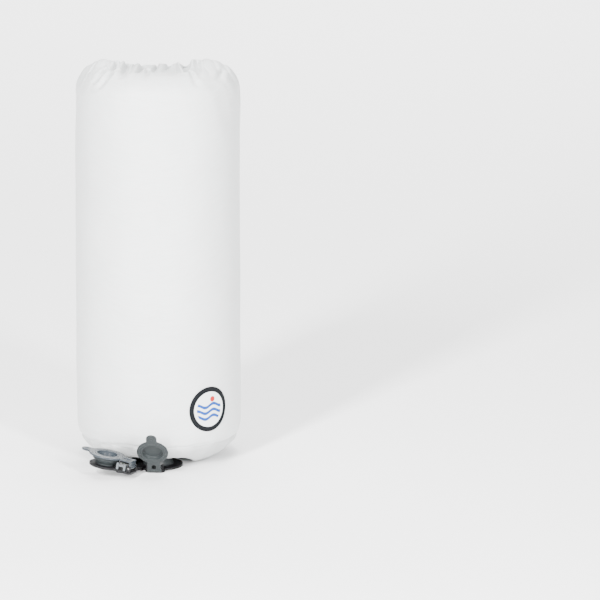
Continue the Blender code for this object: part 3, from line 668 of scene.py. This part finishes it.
def lifted(x, y, z):
    """The base rises to a flat seat over the inflate port and fades back round it."""
    far = np.hypot(x - INFLATE_AT.x, y - INFLATE_AT.y)
    weight = 1 - smooth_step((far - SEAT_RADIUS) / SEAT_FADE)
    return z + weight * np.maximum(SEAT_HEIGHT - z, 0)


def sack_form(angles, counts):
    """The inflated form without folds, as rows from the middle of the top down to the nozzle's hole:
    the top disc, a quarter turn over the shoulder, the wall, a turn into the base, and the base drawn
    in to the hole. Each part is a radius and a height by angle and by its own share from 0 to 1."""
    a = angles[None, :]
    cos, sin = np.cos(a), np.sin(a)
    back = smooth_step(RADIUS * sin / BACK_BLEND)
    shoulder = HEIGHT - SHOULDER_HEIGHT - BACK_DROP * back
    width = FRONT_SHOULDER + (BACK_SHOULDER - FRONT_SHOULDER) * back
    top_rows, shoulder_rows, wall_rows, corner_rows, base_rows = counts
    parts = []
    share = (np.linspace(0, 1, top_rows, endpoint=False) ** 0.8)[:, None]
    radius = (RADIUS - width) * share
    parts.append((radius * cos, radius * sin, top_height(radius * cos, radius * sin)))
    turn = np.linspace(math.pi / 2, 0, shoulder_rows, endpoint=False)[:, None]
    inward, upward = np.abs(np.cos(turn)) ** SHOULDER_FULLNESS, np.sin(turn) ** SHOULDER_FULLNESS
    radius = RADIUS - width * (1 - inward)
    x, y = radius * cos, radius * sin
    parts.append((x, y, shoulder + (top_height(x, y) - shoulder) * upward))
    share = np.linspace(0, 1, wall_rows, endpoint=False)[:, None]
    radius = RADIUS + 0 * share
    parts.append((radius * cos, radius * sin, shoulder + (BASE_CORNER - shoulder) * share))
    flat = RADIUS - BASE_CORNER
    last = math.asin(0.8)
    turn = np.linspace(math.pi / 2, last, corner_rows, endpoint=False)[:, None]
    radius = flat + BASE_CORNER * np.sin(turn)
    x, y = radius * cos, radius * sin
    parts.append((x, y, lifted(x, y, BASE_CORNER * (1 - np.cos(turn)) + 0 * x)))
    share = np.linspace(0, 1, base_rows)[:, None]
    edge = flat + 0.8 * BASE_CORNER
    x = edge * cos * (1 - share) + (INFLATE_AT.x + HOLE_RADIUS * cos) * share
    y = edge * sin * (1 - share) + (INFLATE_AT.y + HOLE_RADIUS * sin) * share
    over = np.clip((np.hypot(x, y) - flat) / BASE_CORNER, 0, 0.999)
    parts.append((x, y, lifted(x, y, BASE_CORNER * (1 - np.sqrt(1 - over ** 2)))))
    return np.concatenate([np.stack(np.broadcast_arrays(*part), -1) for part in parts])


def surface_normals(points):
    """Unit normals from the differences along rows and along columns; columns wrap round."""
    down = np.gradient(points, axis=0)
    across = (np.roll(points, -1, 1) - np.roll(points, 1, 1)) / 2
    normal = np.cross(down, across)
    size = np.linalg.norm(normal, axis=-1, keepdims=True)
    normal = normal / np.maximum(size, 1e-12)
    normal[0] = (0, 0, 1)
    return normal


def crease(x, before, start_x, start_d, end_x, end_d, depth, wide, narrow):
    """A valley along a line between two points with a low ridge on both sides, by distance from the
    line. Its half width goes evenly from the first to the second, and it fades towards its end."""
    line = np.array([end_x - start_x, end_d - start_d])
    length = line @ line
    share = np.clip(((x - start_x) * line[0] + (before - start_d) * line[1]) / length, 0, 1)
    far = np.hypot(x - start_x - share * line[0], before - start_d - share * line[1])
    width = wide + (narrow - wide) * share
    depth = CREASE_STRENGTH * depth * (1 - 0.7 * share) * smooth_step(0.45 + 4 * share)
    return depth * (0.35 * bell(far - 2.2 * width, 1.2 * width) - bell(far, width))


def fold_heights(points, angles, settings):
    """How far the fabric stands off its inflated form, along the normal. It is the sum of gathers
    that fan out from the crest, pressed creases, drawn lines over the shoulders, a slow sway of the
    wall, and puckers along the base seam."""
    x, y, z = points[..., 0], points[..., 1], points[..., 2]
    a = angles[None, :]
    before = CREST_Y - y + np.where(y < CREST_Y, np.maximum(CREST - z, 0), 0)
    high = smooth_step((z - 0.400) / 0.030)
    fan = x * (1 - 0.30 * np.clip(before, 0, 0.08) / 0.08)
    uneven = fan + 0.0035 * noise_1d(fan, 0.021, 3) + 0.0016 * noise_1d(before + 2 * fan, 0.009, 8)
    pleat = noise_1d(uneven, settings.gather_spacing / 2, 5)
    sharp = 0.35 * pleat - bell(pleat, 0.35)
    middle = 0.45 + 0.55 * np.exp(-((np.abs(x) / 0.045) ** 4))
    reach = 0.034 + 0.022 * (0.5 + 0.5 * noise_1d(fan, 0.013, 11))
    fade = bell(np.maximum(before, 0), reach) * bell(np.maximum(-before, 0), 0.014)
    stand = settings.gather * sharp * middle * fade * high
    for line in TOP_CREASES:
        stand = stand + high * crease(x, before, *line)
    shoulder = bell(z - 0.425, 0.050)
    drawn = noise_1d(RADIUS * np.cos(a) + 0.25 * (z - 0.44) + 1.0, 0.014, 21) * np.ones_like(z)
    stand = stand + 0.0011 * drawn * shoulder * smooth_step((0.476 - z) / 0.02)
    wall = smooth_step((z - 0.02) / 0.03) * smooth_step((0.46 - z) / 0.03)
    stand = stand + settings.sway * wall * around_noise(a + 0 * z, z, RADIUS, 0.075, 31)
    stand = stand + 0.35 * settings.sway * wall * around_noise(a + 0 * z, 0.5 * z, RADIUS, 0.022, 41)
    seam = z - SEAM_HEIGHT + 0.0012 * noise_1d(RADIUS * (a + 0 * z) + 1, 0.030, 51)
    outside = smooth_step((np.hypot(x, y) - 0.066) / 0.012)
    pucker = noise_1d(RADIUS * (a + 0 * z) + 2.0, 0.0065, 61)
    stand = stand - 0.0020 * outside * bell(seam, 0.0018)
    stand = stand + settings.seam_pucker * outside * pucker * bell(seam + 0.004, 0.009)
    arc = RADIUS * np.abs(wrapped(a - math.pi / 2)) + 0 * z
    lap = smooth_step((0.0062 - arc) / 0.0010) * wall
    return stand + 0.0005 * lap - 0.0004 * bell(arc - 0.0068, 0.0006) * wall


def sack_fabric(settings):
    """The folded outer face and a plain inner face, joined round the nozzle's hole into one closed
    shell: points of the form moved along its normals by the fold heights, then the same form moved
    in by the fabric's thickness, and by more under the gathers."""
    columns = 264
    angles = np.linspace(0, 2 * math.pi, columns, endpoint=False) - math.pi / 2
    form = sack_form(angles, (96, 62, 92, 20, 34))
    normals = surface_normals(form)
    outer = form + normals * fold_heights(form, angles, settings)[..., None]
    outer[0] = outer[0].mean(axis=0)
    form = sack_form(angles, (14, 10, 8, 5, 6))[::-1]
    normals = surface_normals(form[::-1])[::-1]
    depth = FABRIC + 0.0042 * smooth_step((form[..., 2] - 0.42) / 0.03)
    inner = form - normals * depth[..., None]
    inner[-1] = inner[-1].mean(axis=0)
    points = np.concatenate([outer, inner])
    steps = np.linalg.norm(np.diff(points, axis=0), axis=-1)
    run = np.concatenate([np.zeros((1, columns)), np.cumsum(steps, axis=0)])
    run = np.concatenate([run, run[:, :1]], axis=1)
    turn = np.broadcast_to(np.linspace(0, 2 * math.pi * RADIUS, columns + 1), run.shape)
    return grid_mesh("sack_fabric", points, uv=(turn, run), poles=True)


class AIRSACK_OT_fabric(bpy.types.Operator):
    """Makes the inflated sack's fabric with its gathers, creases and seams"""

    bl_idname = "airsack.fabric"
    bl_label = "Sack Fabric"

    def execute(self, context):
        settings = context.scene.airsack_sack
        finish = fabric_material(settings)
        made = add_piece("sack_fabric", sack_fabric(settings), finish, "sack", ["sack_shell"])
        return {"FINISHED"}


# --- Closure ---


def loop_point(distance):
    """The closure's loop in plan by distance from the middle of its front run: straight, half circle,
    straight back, mirrored for negative distances."""
    half, arc = ROLL_STRAIGHT / 2, math.pi * ROLL_BEND
    side, run = np.where(distance >= 0, 1.0, -1.0), np.abs(distance)
    turn = np.clip((run - half) / ROLL_BEND, 0, math.pi)
    x = np.where(run < half, run, half + ROLL_BEND * np.sin(turn))
    x = np.where(run > half + arc, half - (run - half - arc), x)
    return side * x, ROLL_FRONT_Y + ROLL_BEND * (1 - np.cos(turn))


def rolled_hem():
    """The rolled fabric: an oval section carried along the loop, its radius growing slowly with the
    turn about the section so that the loose edge stands as a step, pinched and swollen by noise along
    the way, and closed at both ends by rows that shrink to the middle over a spiral groove."""
    reach = ROLL_STRAIGHT + math.pi * ROLL_BEND - ROLL_GAP / 2
    rows, columns = 300, 56
    along = np.linspace(-reach, reach, rows)
    x, y = loop_point(along)
    centre = np.stack([x, y, roll_height(y)], -1)
    up = np.array([0, ROLL_SLOPE, 1]) / math.hypot(ROLL_SLOPE, 1)
    forward = np.gradient(centre, axis=0)
    side = np.cross(forward, up)
    side = side / np.linalg.norm(side, axis=1, keepdims=True)
    turn = np.linspace(0, 2 * math.pi, columns, endpoint=False)[None, :]
    spiral = (turn - 0.35 * math.pi) % (2 * math.pi) / (2 * math.pi)
    swell = 1 + 0.035 * noise_1d(along, 0.011, 71)[:, None] * np.sin(turn + 2.0)
    swell = swell + 0.03 * noise_2d(along[:, None] + 1, 0.004 * turn, 0.006, 73)
    size = swell * (0.93 + 0.075 * spiral)
    power = 2 / 2.6
    wide = ROLL_WIDTH / 2 * signed_power(np.cos(turn), power) * size
    tall = ROLL_TALL / 2 * signed_power(np.sin(turn), power) * size
    points = centre[:, None] + side[:, None] * wide[..., None] + up * tall[..., None]
    ends = []
    for row, sign in ((0, -1), (-1, 1)):
        share = np.linspace(0, 0.96, 18)[1:][:, None]
        groove = 0.0005 * np.sin(2 * math.pi * (4 * share + turn / (2 * math.pi)))
        out = forward[row] / np.linalg.norm(forward[row]) * sign
        close = centre[row] + (points[row] - centre[row])[None] * (1 - share)[..., None]
        close = close + out * (groove + 0.0004 * (1 - (1 - share) ** 2) - 0.0006)[..., None]
        last = np.broadcast_to(close[-1:].mean(axis=1, keepdims=True), (1, columns, 3))
        ends.append(np.concatenate([close, last]))
    points = np.concatenate([ends[0][::-1], points, ends[1]])
    steps = np.linalg.norm(np.diff(points[:, 0], axis=0), axis=-1)
    run = np.concatenate([[0], np.cumsum(steps)])[:, None] * np.ones((1, columns + 1))
    girth = np.linspace(0, math.pi * (ROLL_WIDTH + ROLL_TALL) / 2, columns + 1)[None] * np.ones((len(run), 1))
    return grid_mesh("rolled_hem", points, uv=(run, girth), poles=True)


def webbing_strip(name, low, high, place):
    """A flat tape: an oblong section, its two faces ribbed across by a sine, carried along X and
    closed at both ends."""
    half, thick = WEBBING_WIDTH / 2, WEBBING_THICKNESS / 2
    corners = np.array([(-half, -thick), (half, -thick), (half, thick), (-half, thick)])
    section = np.concatenate([
        start + (end - start) * np.linspace(0, 1, count, endpoint=False)[:, None]
        for start, end, count in zip(corners, np.roll(corners, -1, 0), (26, 3, 26, 3))
    ])[None]
    along = np.linspace(low, high, 40)[:, None]
    rib = 0.00008 * np.sin(2 * math.pi * along / 0.0016) * np.sign(section[..., 1])
    points = with_poles(np.stack(np.broadcast_arrays(along, section[..., 0], section[..., 1] + rib), -1))
    u = np.concatenate([[low], along[:, 0], [high]])[:, None]
    v = np.append(section[0, :, 0], section[0, 0, 0])[None]
    return grid_mesh(name, points, uv=np.broadcast_arrays(u, v), poles=True, place=place)


class AIRSACK_OT_closure(bpy.types.Operator):
    """Makes the rolled hem and the webbing tabs, and finishes the buckle"""

    bl_idname = "airsack.closure"
    bl_label = "Roll-Top Closure"

    def execute(self, context):
        sack, settings = context.scene.airsack_sack, context.scene.airsack_closure
        hem = add_piece(
            "rolled_hem", rolled_hem(), stitched_fabric_material(sack, settings.stitch), "sack",
            ["roll_top"],
        )
        tape = webbing_material(settings)
        place = Matrix.Translation((0, ROLL_BACK_Y, roll_height(ROLL_BACK_Y)))
        place = place @ Matrix.Rotation(-math.atan(ROLL_SLOPE), 4, "X")
        for side, low, high in (("left", -0.0257, -0.0153), ("right", 0.0199, 0.0257)):
            name = "webbing_tab_" + side
            add_piece(name, webbing_strip(name, low, high, place), tape, "sack", ["webbing_" + side])
        plastic = moulded_material("Buckle Acetal", settings.buckle, 0.38, bump=0.2)
        dress(plastic, "buckle_female", "buckle_male", "buckle_prong_left", "buckle_prong_right")
        return {"FINISHED"}


# --- Badge ---


def badge(settings):
    """A round badge bent about the wall: rings of growing radius from its middle, raised a little
    over a bulged border with thread ridges, then turned under to its flat back."""
    radius = settings.radius
    share = np.concatenate([
        np.linspace(0, BADGE_BORDER, 26, endpoint=False), np.linspace(BADGE_BORDER, 1.0, 18),
    ])[:, None]
    turn = np.linspace(0, 2 * math.pi, 220, endpoint=False)[None, :]
    half = (1 - BADGE_BORDER) / 2
    bulge = np.sqrt(np.clip(1 - ((share - 1 + half) / half) ** 2, 0, 1))
    thread = 0.5 + 0.5 * np.abs(np.sin(BADGE_THREADS * turn))
    border = np.where(share > BADGE_BORDER, 0.00055 * bulge * (0.8 + 0.2 * thread) - 0.00005, 0)
    rise = 0.00045 + border - 0.00012 * (share > 0.97)
    under = np.array([1.0, 0.6, 0.0])[:, None]
    reach = np.concatenate([share, under]) * radius
    height = np.concatenate([rise, -0.00020 + 0 * under * turn])
    across, tall = reach * np.cos(turn), reach * np.sin(turn)
    wall = RADIUS + 0.00055 + height
    angle = BADGE_ANGLE + across / RADIUS
    points = np.stack([wall * np.sin(angle), -wall * np.cos(angle), BADGE_HEIGHT + tall], -1)
    points[0], points[-1] = points[0].mean(axis=0), points[-1].mean(axis=0)
    uv = [np.concatenate([side, side[:, :1]], axis=1) / radius for side in (across, tall)]
    return grid_mesh("badge", points, uv=uv, poles=True)


class AIRSACK_OT_badge(bpy.types.Operator):
    """Makes the round badge low on the sack's front"""

    bl_idname = "airsack.badge"
    bl_label = "Badge"

    def execute(self, context):
        settings = context.scene.airsack_badge
        add_piece("badge", badge(settings), badge_material(settings), "sack", ["label_patch"])
        return {"FINISHED"}


# --- Valve ---


def port_place(deflate):
    """The port's own frame: its place, its tilt about Y and its turn about Z."""
    if deflate:
        tilt = Matrix.Rotation(DEFLATE_TILT, 4, "Y")
        return Matrix.Translation(DEFLATE_AT) @ tilt @ Matrix.Rotation(DEFLATE_YAW, 4, "Z")
    return Matrix.Translation(INFLATE_AT) @ Matrix.Rotation(INFLATE_YAW, 4, "Z")


def cap_place(deflate):
    """From a cap drawn closed on its port to where it rests: turned about its hinge if it is open."""
    if deflate:
        return port_place(True)
    hinge = Matrix.Translation((0, -STRAP_REACH, HINGE_HEIGHT))
    return port_place(False) @ hinge @ Matrix.Rotation(INFLATE_OPEN, 4, "X") @ hinge.inverted()


def tab_outline(turn, radius):
    """Distance from the cap's middle to its edge by angle: the disc, and a round-ended tab about +Y,
    joined by a high power mean so that the inner corners are filleted."""
    half, end = TAB_WIDTH / 2, radius + TAB_LENGTH
    cos, sin = np.cos(turn), np.sin(turn)
    middle = end - half
    side = half / np.maximum(np.abs(cos), 1e-6)
    inner = middle * sin + np.sqrt(np.maximum(half ** 2 - (middle * cos) ** 2, 0))
    reach = np.where(side * sin < middle, side, inner)
    reach = np.where(sin > 0.2, np.minimum(reach, end), 0)
    return (radius ** 26 + reach ** 26) ** (1 / 26)


def cap_plate(name, radius, place):
    """Cap disc with its tab: a rounded profile from the recess's floor over the face, round the edge
    and down the plug, whose outer rows follow the tab's outline. A shallow groove rings the face, and
    a thumb hollow is pressed into the tab. The columns crowd together towards the tab."""
    columns = 320
    turn = np.linspace(0, 2 * math.pi, columns, endpoint=False)
    turn = (turn + 0.45 * np.cos(turn) * bell(wrapped(turn - math.pi / 2), 0.9))[None, :]

    def row(reach, height):
        return np.stack(np.broadcast_arrays(reach + 0 * turn, height), -1)

    def profile_rows(corners, rounding):
        profile = round_profile(corners, rounding)
        return row(profile[:, :1], profile[:, 1:])

    floor, step_high, groove = PLUG_END + 0.0014, CAP_TOP - 0.0030, CAP_TOP - 0.0004
    inner = RECESS_RADIUS - RECESS_STEP
    start = RECESS_RADIUS + 0.0031
    outline = tab_outline(turn, radius)
    edge = 0.0009
    face, under = np.linspace(0, 1, 16)[1:, None], np.linspace(0, 1, 8)[1:, None]
    upper_turn = np.linspace(math.pi / 2, 0, 8)[1:, None]
    lower_turn = np.linspace(0, -math.pi / 2, 8)[1:, None]
    notch, foot = PLUG_RADIUS - 0.0005, PLUG_RADIUS - 0.0002
    grid = np.concatenate([
        profile_rows([
            (0, floor, 0), (0.0050, floor, 0), (0.0085, floor, 0), (inner, floor, 0.0006),
            (inner, step_high), (RECESS_RADIUS, step_high), (RECESS_RADIUS, CAP_TOP, 0.0005),
            (RECESS_RADIUS + 0.0018, CAP_TOP, 0.0003), (RECESS_RADIUS + 0.0022, groove, 0.0003),
            (RECESS_RADIUS + 0.0027, groove, 0.0003), (start, CAP_TOP, 0),
        ], 0.0004),
        row(start + (outline - edge - start) * face, CAP_TOP),
        row(outline - edge + edge * np.cos(upper_turn), CAP_TOP - edge + edge * np.sin(upper_turn)),
        row(outline - edge + edge * np.cos(lower_turn), CAP_BOTTOM + edge + edge * np.sin(lower_turn)),
        row((outline - edge) * (1 - under) + (PLUG_RADIUS + 0.0004) * under, CAP_BOTTOM),
        profile_rows([
            (PLUG_RADIUS, CAP_BOTTOM, 0), (PLUG_RADIUS, CAP_BOTTOM - 0.0010), (notch, CAP_BOTTOM - 0.0013),
            (notch, CAP_BOTTOM - 0.0020), (PLUG_RADIUS, CAP_BOTTOM - 0.0023), (foot, PLUG_END, 0.0005),
            (0.004, PLUG_END, 0), (0, PLUG_END, 0),
        ], 0.0002),
    ])
    reach, height = grid[..., 0], grid[..., 1]
    x, y = reach * np.cos(turn), reach * np.sin(turn)
    far = np.hypot(x, y - (radius + TAB_LENGTH - TAB_WIDTH / 2))
    upper = height > CAP_TOP - 0.0006
    height = height - np.where(upper, 0.0008 * (1 - smooth_step((far - 0.0014) / 0.0010)), 0)
    ridge = 0.0002 * bell(far - 0.0040, 0.0005)
    height = height + np.where(upper & (y > radius - 0.001), ridge, 0)
    points = np.stack([x, y, height], -1)
    points[0], points[-1] = points[0].mean(axis=0), points[-1].mean(axis=0)
    return grid_mesh(name, points, poles=True, place=place)


def strap(name, radius, place):
    """A strap with a slot, level with the cap: a ring between the slot's round-ended outline and the
    strap's flared oblong, both by angle about the slot's middle, with rounded edges above and below."""
    columns = 240
    turn = np.linspace(0, 2 * math.pi, columns, endpoint=False)
    cos, sin = np.cos(turn), np.sin(turn)
    slot_y = -STRAP_REACH + STRAP_END_TO_SLOT + SLOT_LENGTH / 2
    front, behind = -radius + 0.0040 - slot_y, STRAP_REACH + 0.0010 + slot_y
    tall = np.where(sin > 0, front, behind)
    power = 11.0
    outer = ((np.abs(cos) / (STRAP_WIDTH / 2)) ** power + (np.abs(sin) / tall) ** power) ** (-1 / power)
    slot_half, slot_mid = SLOT_WIDTH / 2, (SLOT_LENGTH - SLOT_WIDTH) / 2
    side = slot_half / np.maximum(np.abs(cos), 1e-6)
    end = slot_mid * np.abs(sin) + np.sqrt(np.maximum(slot_half ** 2 - (slot_mid * cos) ** 2, 0))
    inner = np.where(side * np.abs(sin) < slot_mid, side, end)
    edge, thick = 0.0006, STRAP_THICKNESS
    t = np.linspace(0, math.pi / 2, 6)
    span = np.linspace(0, 1, 8)[1:-1]
    first, last = inner + edge, outer - edge
    rows = [(inner + edge * (1 - math.cos(v)), -edge * (1 - math.sin(v))) for v in t]
    rows += [(first + (last - first) * share, 0.0) for share in span]
    rows += [(outer - edge * (1 - math.sin(v)), -edge * (1 - math.cos(v))) for v in t]
    rows += [(outer - edge * (1 - math.cos(v)), -thick + edge * (1 - math.sin(v))) for v in t]
    rows += [(last + (first - last) * share, -thick) for share in span]
    rows += [(inner + edge * (1 - math.sin(v)), -thick + edge * (1 - math.cos(v))) for v in t]
    reach = np.stack([np.broadcast_to(r, turn.shape) for r, _ in rows])
    depth = np.array([d for _, d in rows])[:, None]
    x, y = reach * cos, slot_y + reach * sin
    flare = smooth_step((-STRAP_REACH + 0.006 - y) / 0.006) * smooth_step((reach - 0.5 * outer) / (0.5 * outer))
    rim = 0.00025 * bell(reach - inner - 0.0013, 0.0005) * (depth == 0)
    points = np.stack([x * (1 + 0.10 * flare), y, CAP_BOTTOM + thick + depth + rim], -1)
    return grid_mesh(name, points, close_rows=True, place=place)


def strap_leg(name, place):
    """The strap's leg from its end down to the hinge: a rounded oblong section carried along Z."""
    turn = np.linspace(0, 2 * math.pi, 64, endpoint=False)[None, :]
    power = 2 / 7
    x = STRAP_WIDTH / 2 * signed_power(np.cos(turn), power)
    y = STRAP_THICKNESS / 2 * signed_power(np.sin(turn), power) - STRAP_REACH
    top = CAP_BOTTOM + STRAP_THICKNESS - 0.0005
    height = np.linspace(HINGE_HEIGHT, top, 12)[:, None]
    points = with_poles(np.stack(np.broadcast_arrays(x, y, height), -1))
    return grid_mesh(name, points, poles=True, place=place)


def barrel(name, place):
    """The strap's hinge barrel: a rounded tube turned about X."""
    half, bore = STRAP_WIDTH / 2, 0.0009
    at = place @ Matrix.Translation((0, -STRAP_REACH, HINGE_HEIGHT)) @ Matrix.Rotation(math.pi / 2, 4, "Y")
    corners = [(bore, -half), (BARREL_RADIUS, -half), (BARREL_RADIUS, half), (bore, half)]
    return turned(name, corners, 0.0003, 40, at)


def collar(name, foot, place):
    """A port's collar: foot bead, conical or straight skirt, two thin ribs under the lip, rounded
    lip, pocket and bore, turned about the port's axis."""
    low, top = 0.0003, COLLAR_HEIGHT
    near = COLLAR_RADIUS - 0.0004
    return turned(name, [
        (BORE_RADIUS, low), (foot, low, 0.0003), (foot, low + 0.0010, 0.0004),
        (foot - 0.0006 if foot > COLLAR_RADIUS else foot, low + 0.0014, 0.0004),
        (near, top - 0.0036, 0.0008), (near, top - 0.0030), (COLLAR_RADIUS, top - 0.0028),
        (COLLAR_RADIUS, top - 0.0022), (near, top - 0.0020), (near, top - 0.0014),
        (COLLAR_RADIUS, top - 0.0012, 0.0003), (COLLAR_RADIUS, top, 0.0007), (POCKET_RADIUS, top, 0.0005),
        (POCKET_RADIUS, POCKET_FLOOR, 0.0003), (BORE_RADIUS, POCKET_FLOOR, 0.0003),
    ], 0.0002, 160, place)


class AIRSACK_OT_caps(bpy.types.Operator):
    """Makes both caps with their tabs, straps, slots and hinge barrels"""

    bl_idname = "airsack.caps"
    bl_label = "Valve Caps"

    def execute(self, context):
        settings = context.scene.airsack_valve
        plain = moulded_material("Open Cap Moulding", settings.moulding, 0.40)
        light = moulded_material(
            "Closed Cap Moulding", settings.cap, 0.22, bump=0.03, scuff=0.02, dust=0.0, gloss=0.32,
        )
        for body, radius, finish, slot in (
            ("inflate_cap", INFLATE_CAP_RADIUS, plain, "grey_moulding"),
            ("deflate_cap", DEFLATE_CAP_RADIUS, light, "cap_moulding"),
        ):
            place = cap_place(body == "deflate_cap")
            add_piece(body + "_plate", cap_plate(body + "_plate", radius, place), finish, body, [body])
            add_piece(body + "_strap", strap(body + "_strap", radius, place), finish, body)
            add_piece(body + "_leg", strap_leg(body + "_leg", place), finish, body)
            add_piece(body + "_barrel", barrel(body + "_barrel", place), finish, body)
        return {"FINISHED"}


class AIRSACK_OT_valve(bpy.types.Operator):
    """Makes both collars, and finishes the base plate, brackets, nozzle, flap and seals"""

    bl_idname = "airsack.valve"
    bl_label = "Twin Valve"

    def execute(self, context):
        settings = context.scene.airsack_valve
        plain = moulded_material("Port Moulding", settings.moulding, 0.42)
        for port, foot in (("inflate", INFLATE_FOOT), ("deflate", DEFLATE_FOOT)):
            mesh = collar(port + "_collar", foot, port_place(port == "deflate"))
            add_piece(port + "_collar", mesh, plain, "valve", [port + "_port"])
        dress(plain, "nozzle", "nozzle_ring", "flap_grid")
        hook = moulded_material(
            "Clip Moulding", settings.clip, 0.26, bump=0.03, scuff=0.03, dust=0.0, gloss=0.5,
        )
        dress(hook, "strap_hook")
        bracket = moulded_material("Bracket Moulding", settings.flange, 0.50, bump=0.1)
        dress(bracket, "inflate_bracket", "deflate_bracket")
        rubber = moulded_material(
            "Flange Rubber", settings.flange, 0.52, scale=1200.0, bump=0.35, scuff=0.08, dust=0.10,
        )
        dress(rubber, "valve_base")
        silicone = moulded_material("Silicone", (0.50, 0.52, 0.53), 0.40, bump=0.08, dust=0.0)
        dress(silicone, "inflate_seal", "deflate_seal", "check_flap")
        dress(metal_material(), "inflate_pin", "deflate_pin")
        return {"FINISHED"}


class AIRSACK_OT_inside(bpy.types.Operator):
    """Finishes the tape, patch and strip that the fabric hides"""

    bl_idname = "airsack.inside"
    bl_label = "Hidden Reinforcements"

    def execute(self, context):
        colour = context.scene.airsack_sack.colour
        dress(moulded_material("Seam Film", colour, 0.45, bump=0.1, dust=0.0), "seam_tape", "base_patch")
        strip = moulded_material("Stiffener Strip", (0.70, 0.70, 0.67), 0.50, bump=0.1, dust=0.0)
        dress(strip, "stiffener_strip")
        return {"FINISHED"}


# --- Stage ---


def floor_sheet():
    """A flat square floor, 60 m wide, as a grid of 5 m squares at height 0."""
    side = np.linspace(-30, 30, 13)
    points = np.stack(np.broadcast_arrays(side[None, :], side[:, None], 0.0), -1)
    return grid_mesh("floor", points, close_columns=False)


def area_light(name, place, size, power, at=(0, 0, 0.22)):
    """An oblong light at a place, turned to face another: size in metres, power in watts."""
    lamp = bpy.data.lights.new(name, "AREA")
    lamp.shape = "RECTANGLE"
    lamp.size, lamp.size_y = size
    lamp.energy = power
    made = bpy.data.objects.new(name, lamp)
    bpy.context.scene.collection.objects.link(made)
    made.location = place
    made.rotation_euler = (Vector(at) - Vector(place)).to_track_quat("-Z", "Y").to_euler()
    return made


class AIRSACK_OT_stage(bpy.types.Operator):
    """Makes the floor, the soft studio lights and the camera"""

    bl_idname = "airsack.stage"
    bl_label = "Studio"

    def execute(self, context):
        settings = context.scene.airsack_stage
        made = bpy.data.objects.new("floor", floor_sheet())
        context.scene.collection.objects.link(made)
        paper, n, shader = new_material("Paper", settings.floor, 0.9, IOR=1.3)
        at = n.place()
        tint = n.mix(n.noise(at, 3.0), shaded(settings.floor, 0.99), shaded(settings.floor, 1.01))
        n.tree.links.new(tint, shader.inputs["Base Color"])
        made.data.materials.append(paper)
        world = bpy.data.worlds.new("Studio")
        world.use_nodes = True
        sky = world.node_tree.nodes["Background"].inputs
        sky["Color"].default_value = (1, 1, 1, 1)
        sky["Strength"].default_value = 0.12
        context.scene.world = world
        area_light("key", (-1.25, -2.7, 1.5), (0.35, 1.8), 430)
        area_light("fill", (1.45, -2.6, 1.1), (0.35, 1.6), 250)
        area_light("over", (0.2, 0.3, 3.2), (1.6, 1.4), 150)
        area_light("behind", (0.2, 3.4, 3.2), (4.0, 2.0), 560, at=(0.2, 4.2, 0))
        lens = bpy.data.cameras.new("camera")
        lens.lens = settings.lens
        lens.clip_end = 60
        camera = bpy.data.objects.new("camera", lens)
        context.scene.collection.objects.link(camera)
        aim = Vector((0.167, 0, 0.186))
        away = Vector((0, -math.cos(settings.down), math.sin(settings.down)))
        camera.location = aim + away * settings.distance
        camera.rotation_euler = (-away).to_track_quat("-Z", "Y").to_euler()
        context.scene.camera = camera
        return {"FINISHED"}


# --- Panel and registration ---


OPERATORS = (
    AIRSACK_OT_fabric, AIRSACK_OT_closure, AIRSACK_OT_badge, AIRSACK_OT_caps, AIRSACK_OT_valve,
    AIRSACK_OT_inside, AIRSACK_OT_stage,
)
SETTINGS = {
    "airsack_sack": SackSettings, "airsack_closure": ClosureSettings, "airsack_badge": BadgeSettings,
    "airsack_valve": ValveSettings, "airsack_stage": StageSettings,
}


class AIRSACK_PT_panel(bpy.types.Panel):
    """Lists the operators and their settings"""

    bl_label = "Air Sack"
    bl_idname = "AIRSACK_PT_panel"
    bl_space_type = "VIEW_3D"
    bl_region_type = "UI"
    bl_category = "Air Sack"

    def draw(self, context):
        for operator in OPERATORS:
            self.layout.operator(operator.bl_idname)
        for name, kind in SETTINGS.items():
            box = self.layout.box()
            for field in kind.__annotations__:
                box.prop(getattr(context.scene, name), field)


def register():
    for kind in (*SETTINGS.values(), *OPERATORS, AIRSACK_PT_panel):
        bpy.utils.register_class(kind)
    for name, kind in SETTINGS.items():
        setattr(bpy.types.Scene, name, bpy.props.PointerProperty(type=kind))


def unregister():
    for name in SETTINGS:
        delattr(bpy.types.Scene, name)
    for kind in reversed((*SETTINGS.values(), *OPERATORS, AIRSACK_PT_panel)):
        bpy.utils.unregister_class(kind)


def main():
    register()
    bpy.ops.airsack.fabric()
    bpy.ops.airsack.closure()
    bpy.ops.airsack.badge()
    bpy.ops.airsack.caps()
    bpy.ops.airsack.valve()
    bpy.ops.airsack.inside()
    bpy.ops.airsack.stage()


if __name__ == "__main__":
    main()
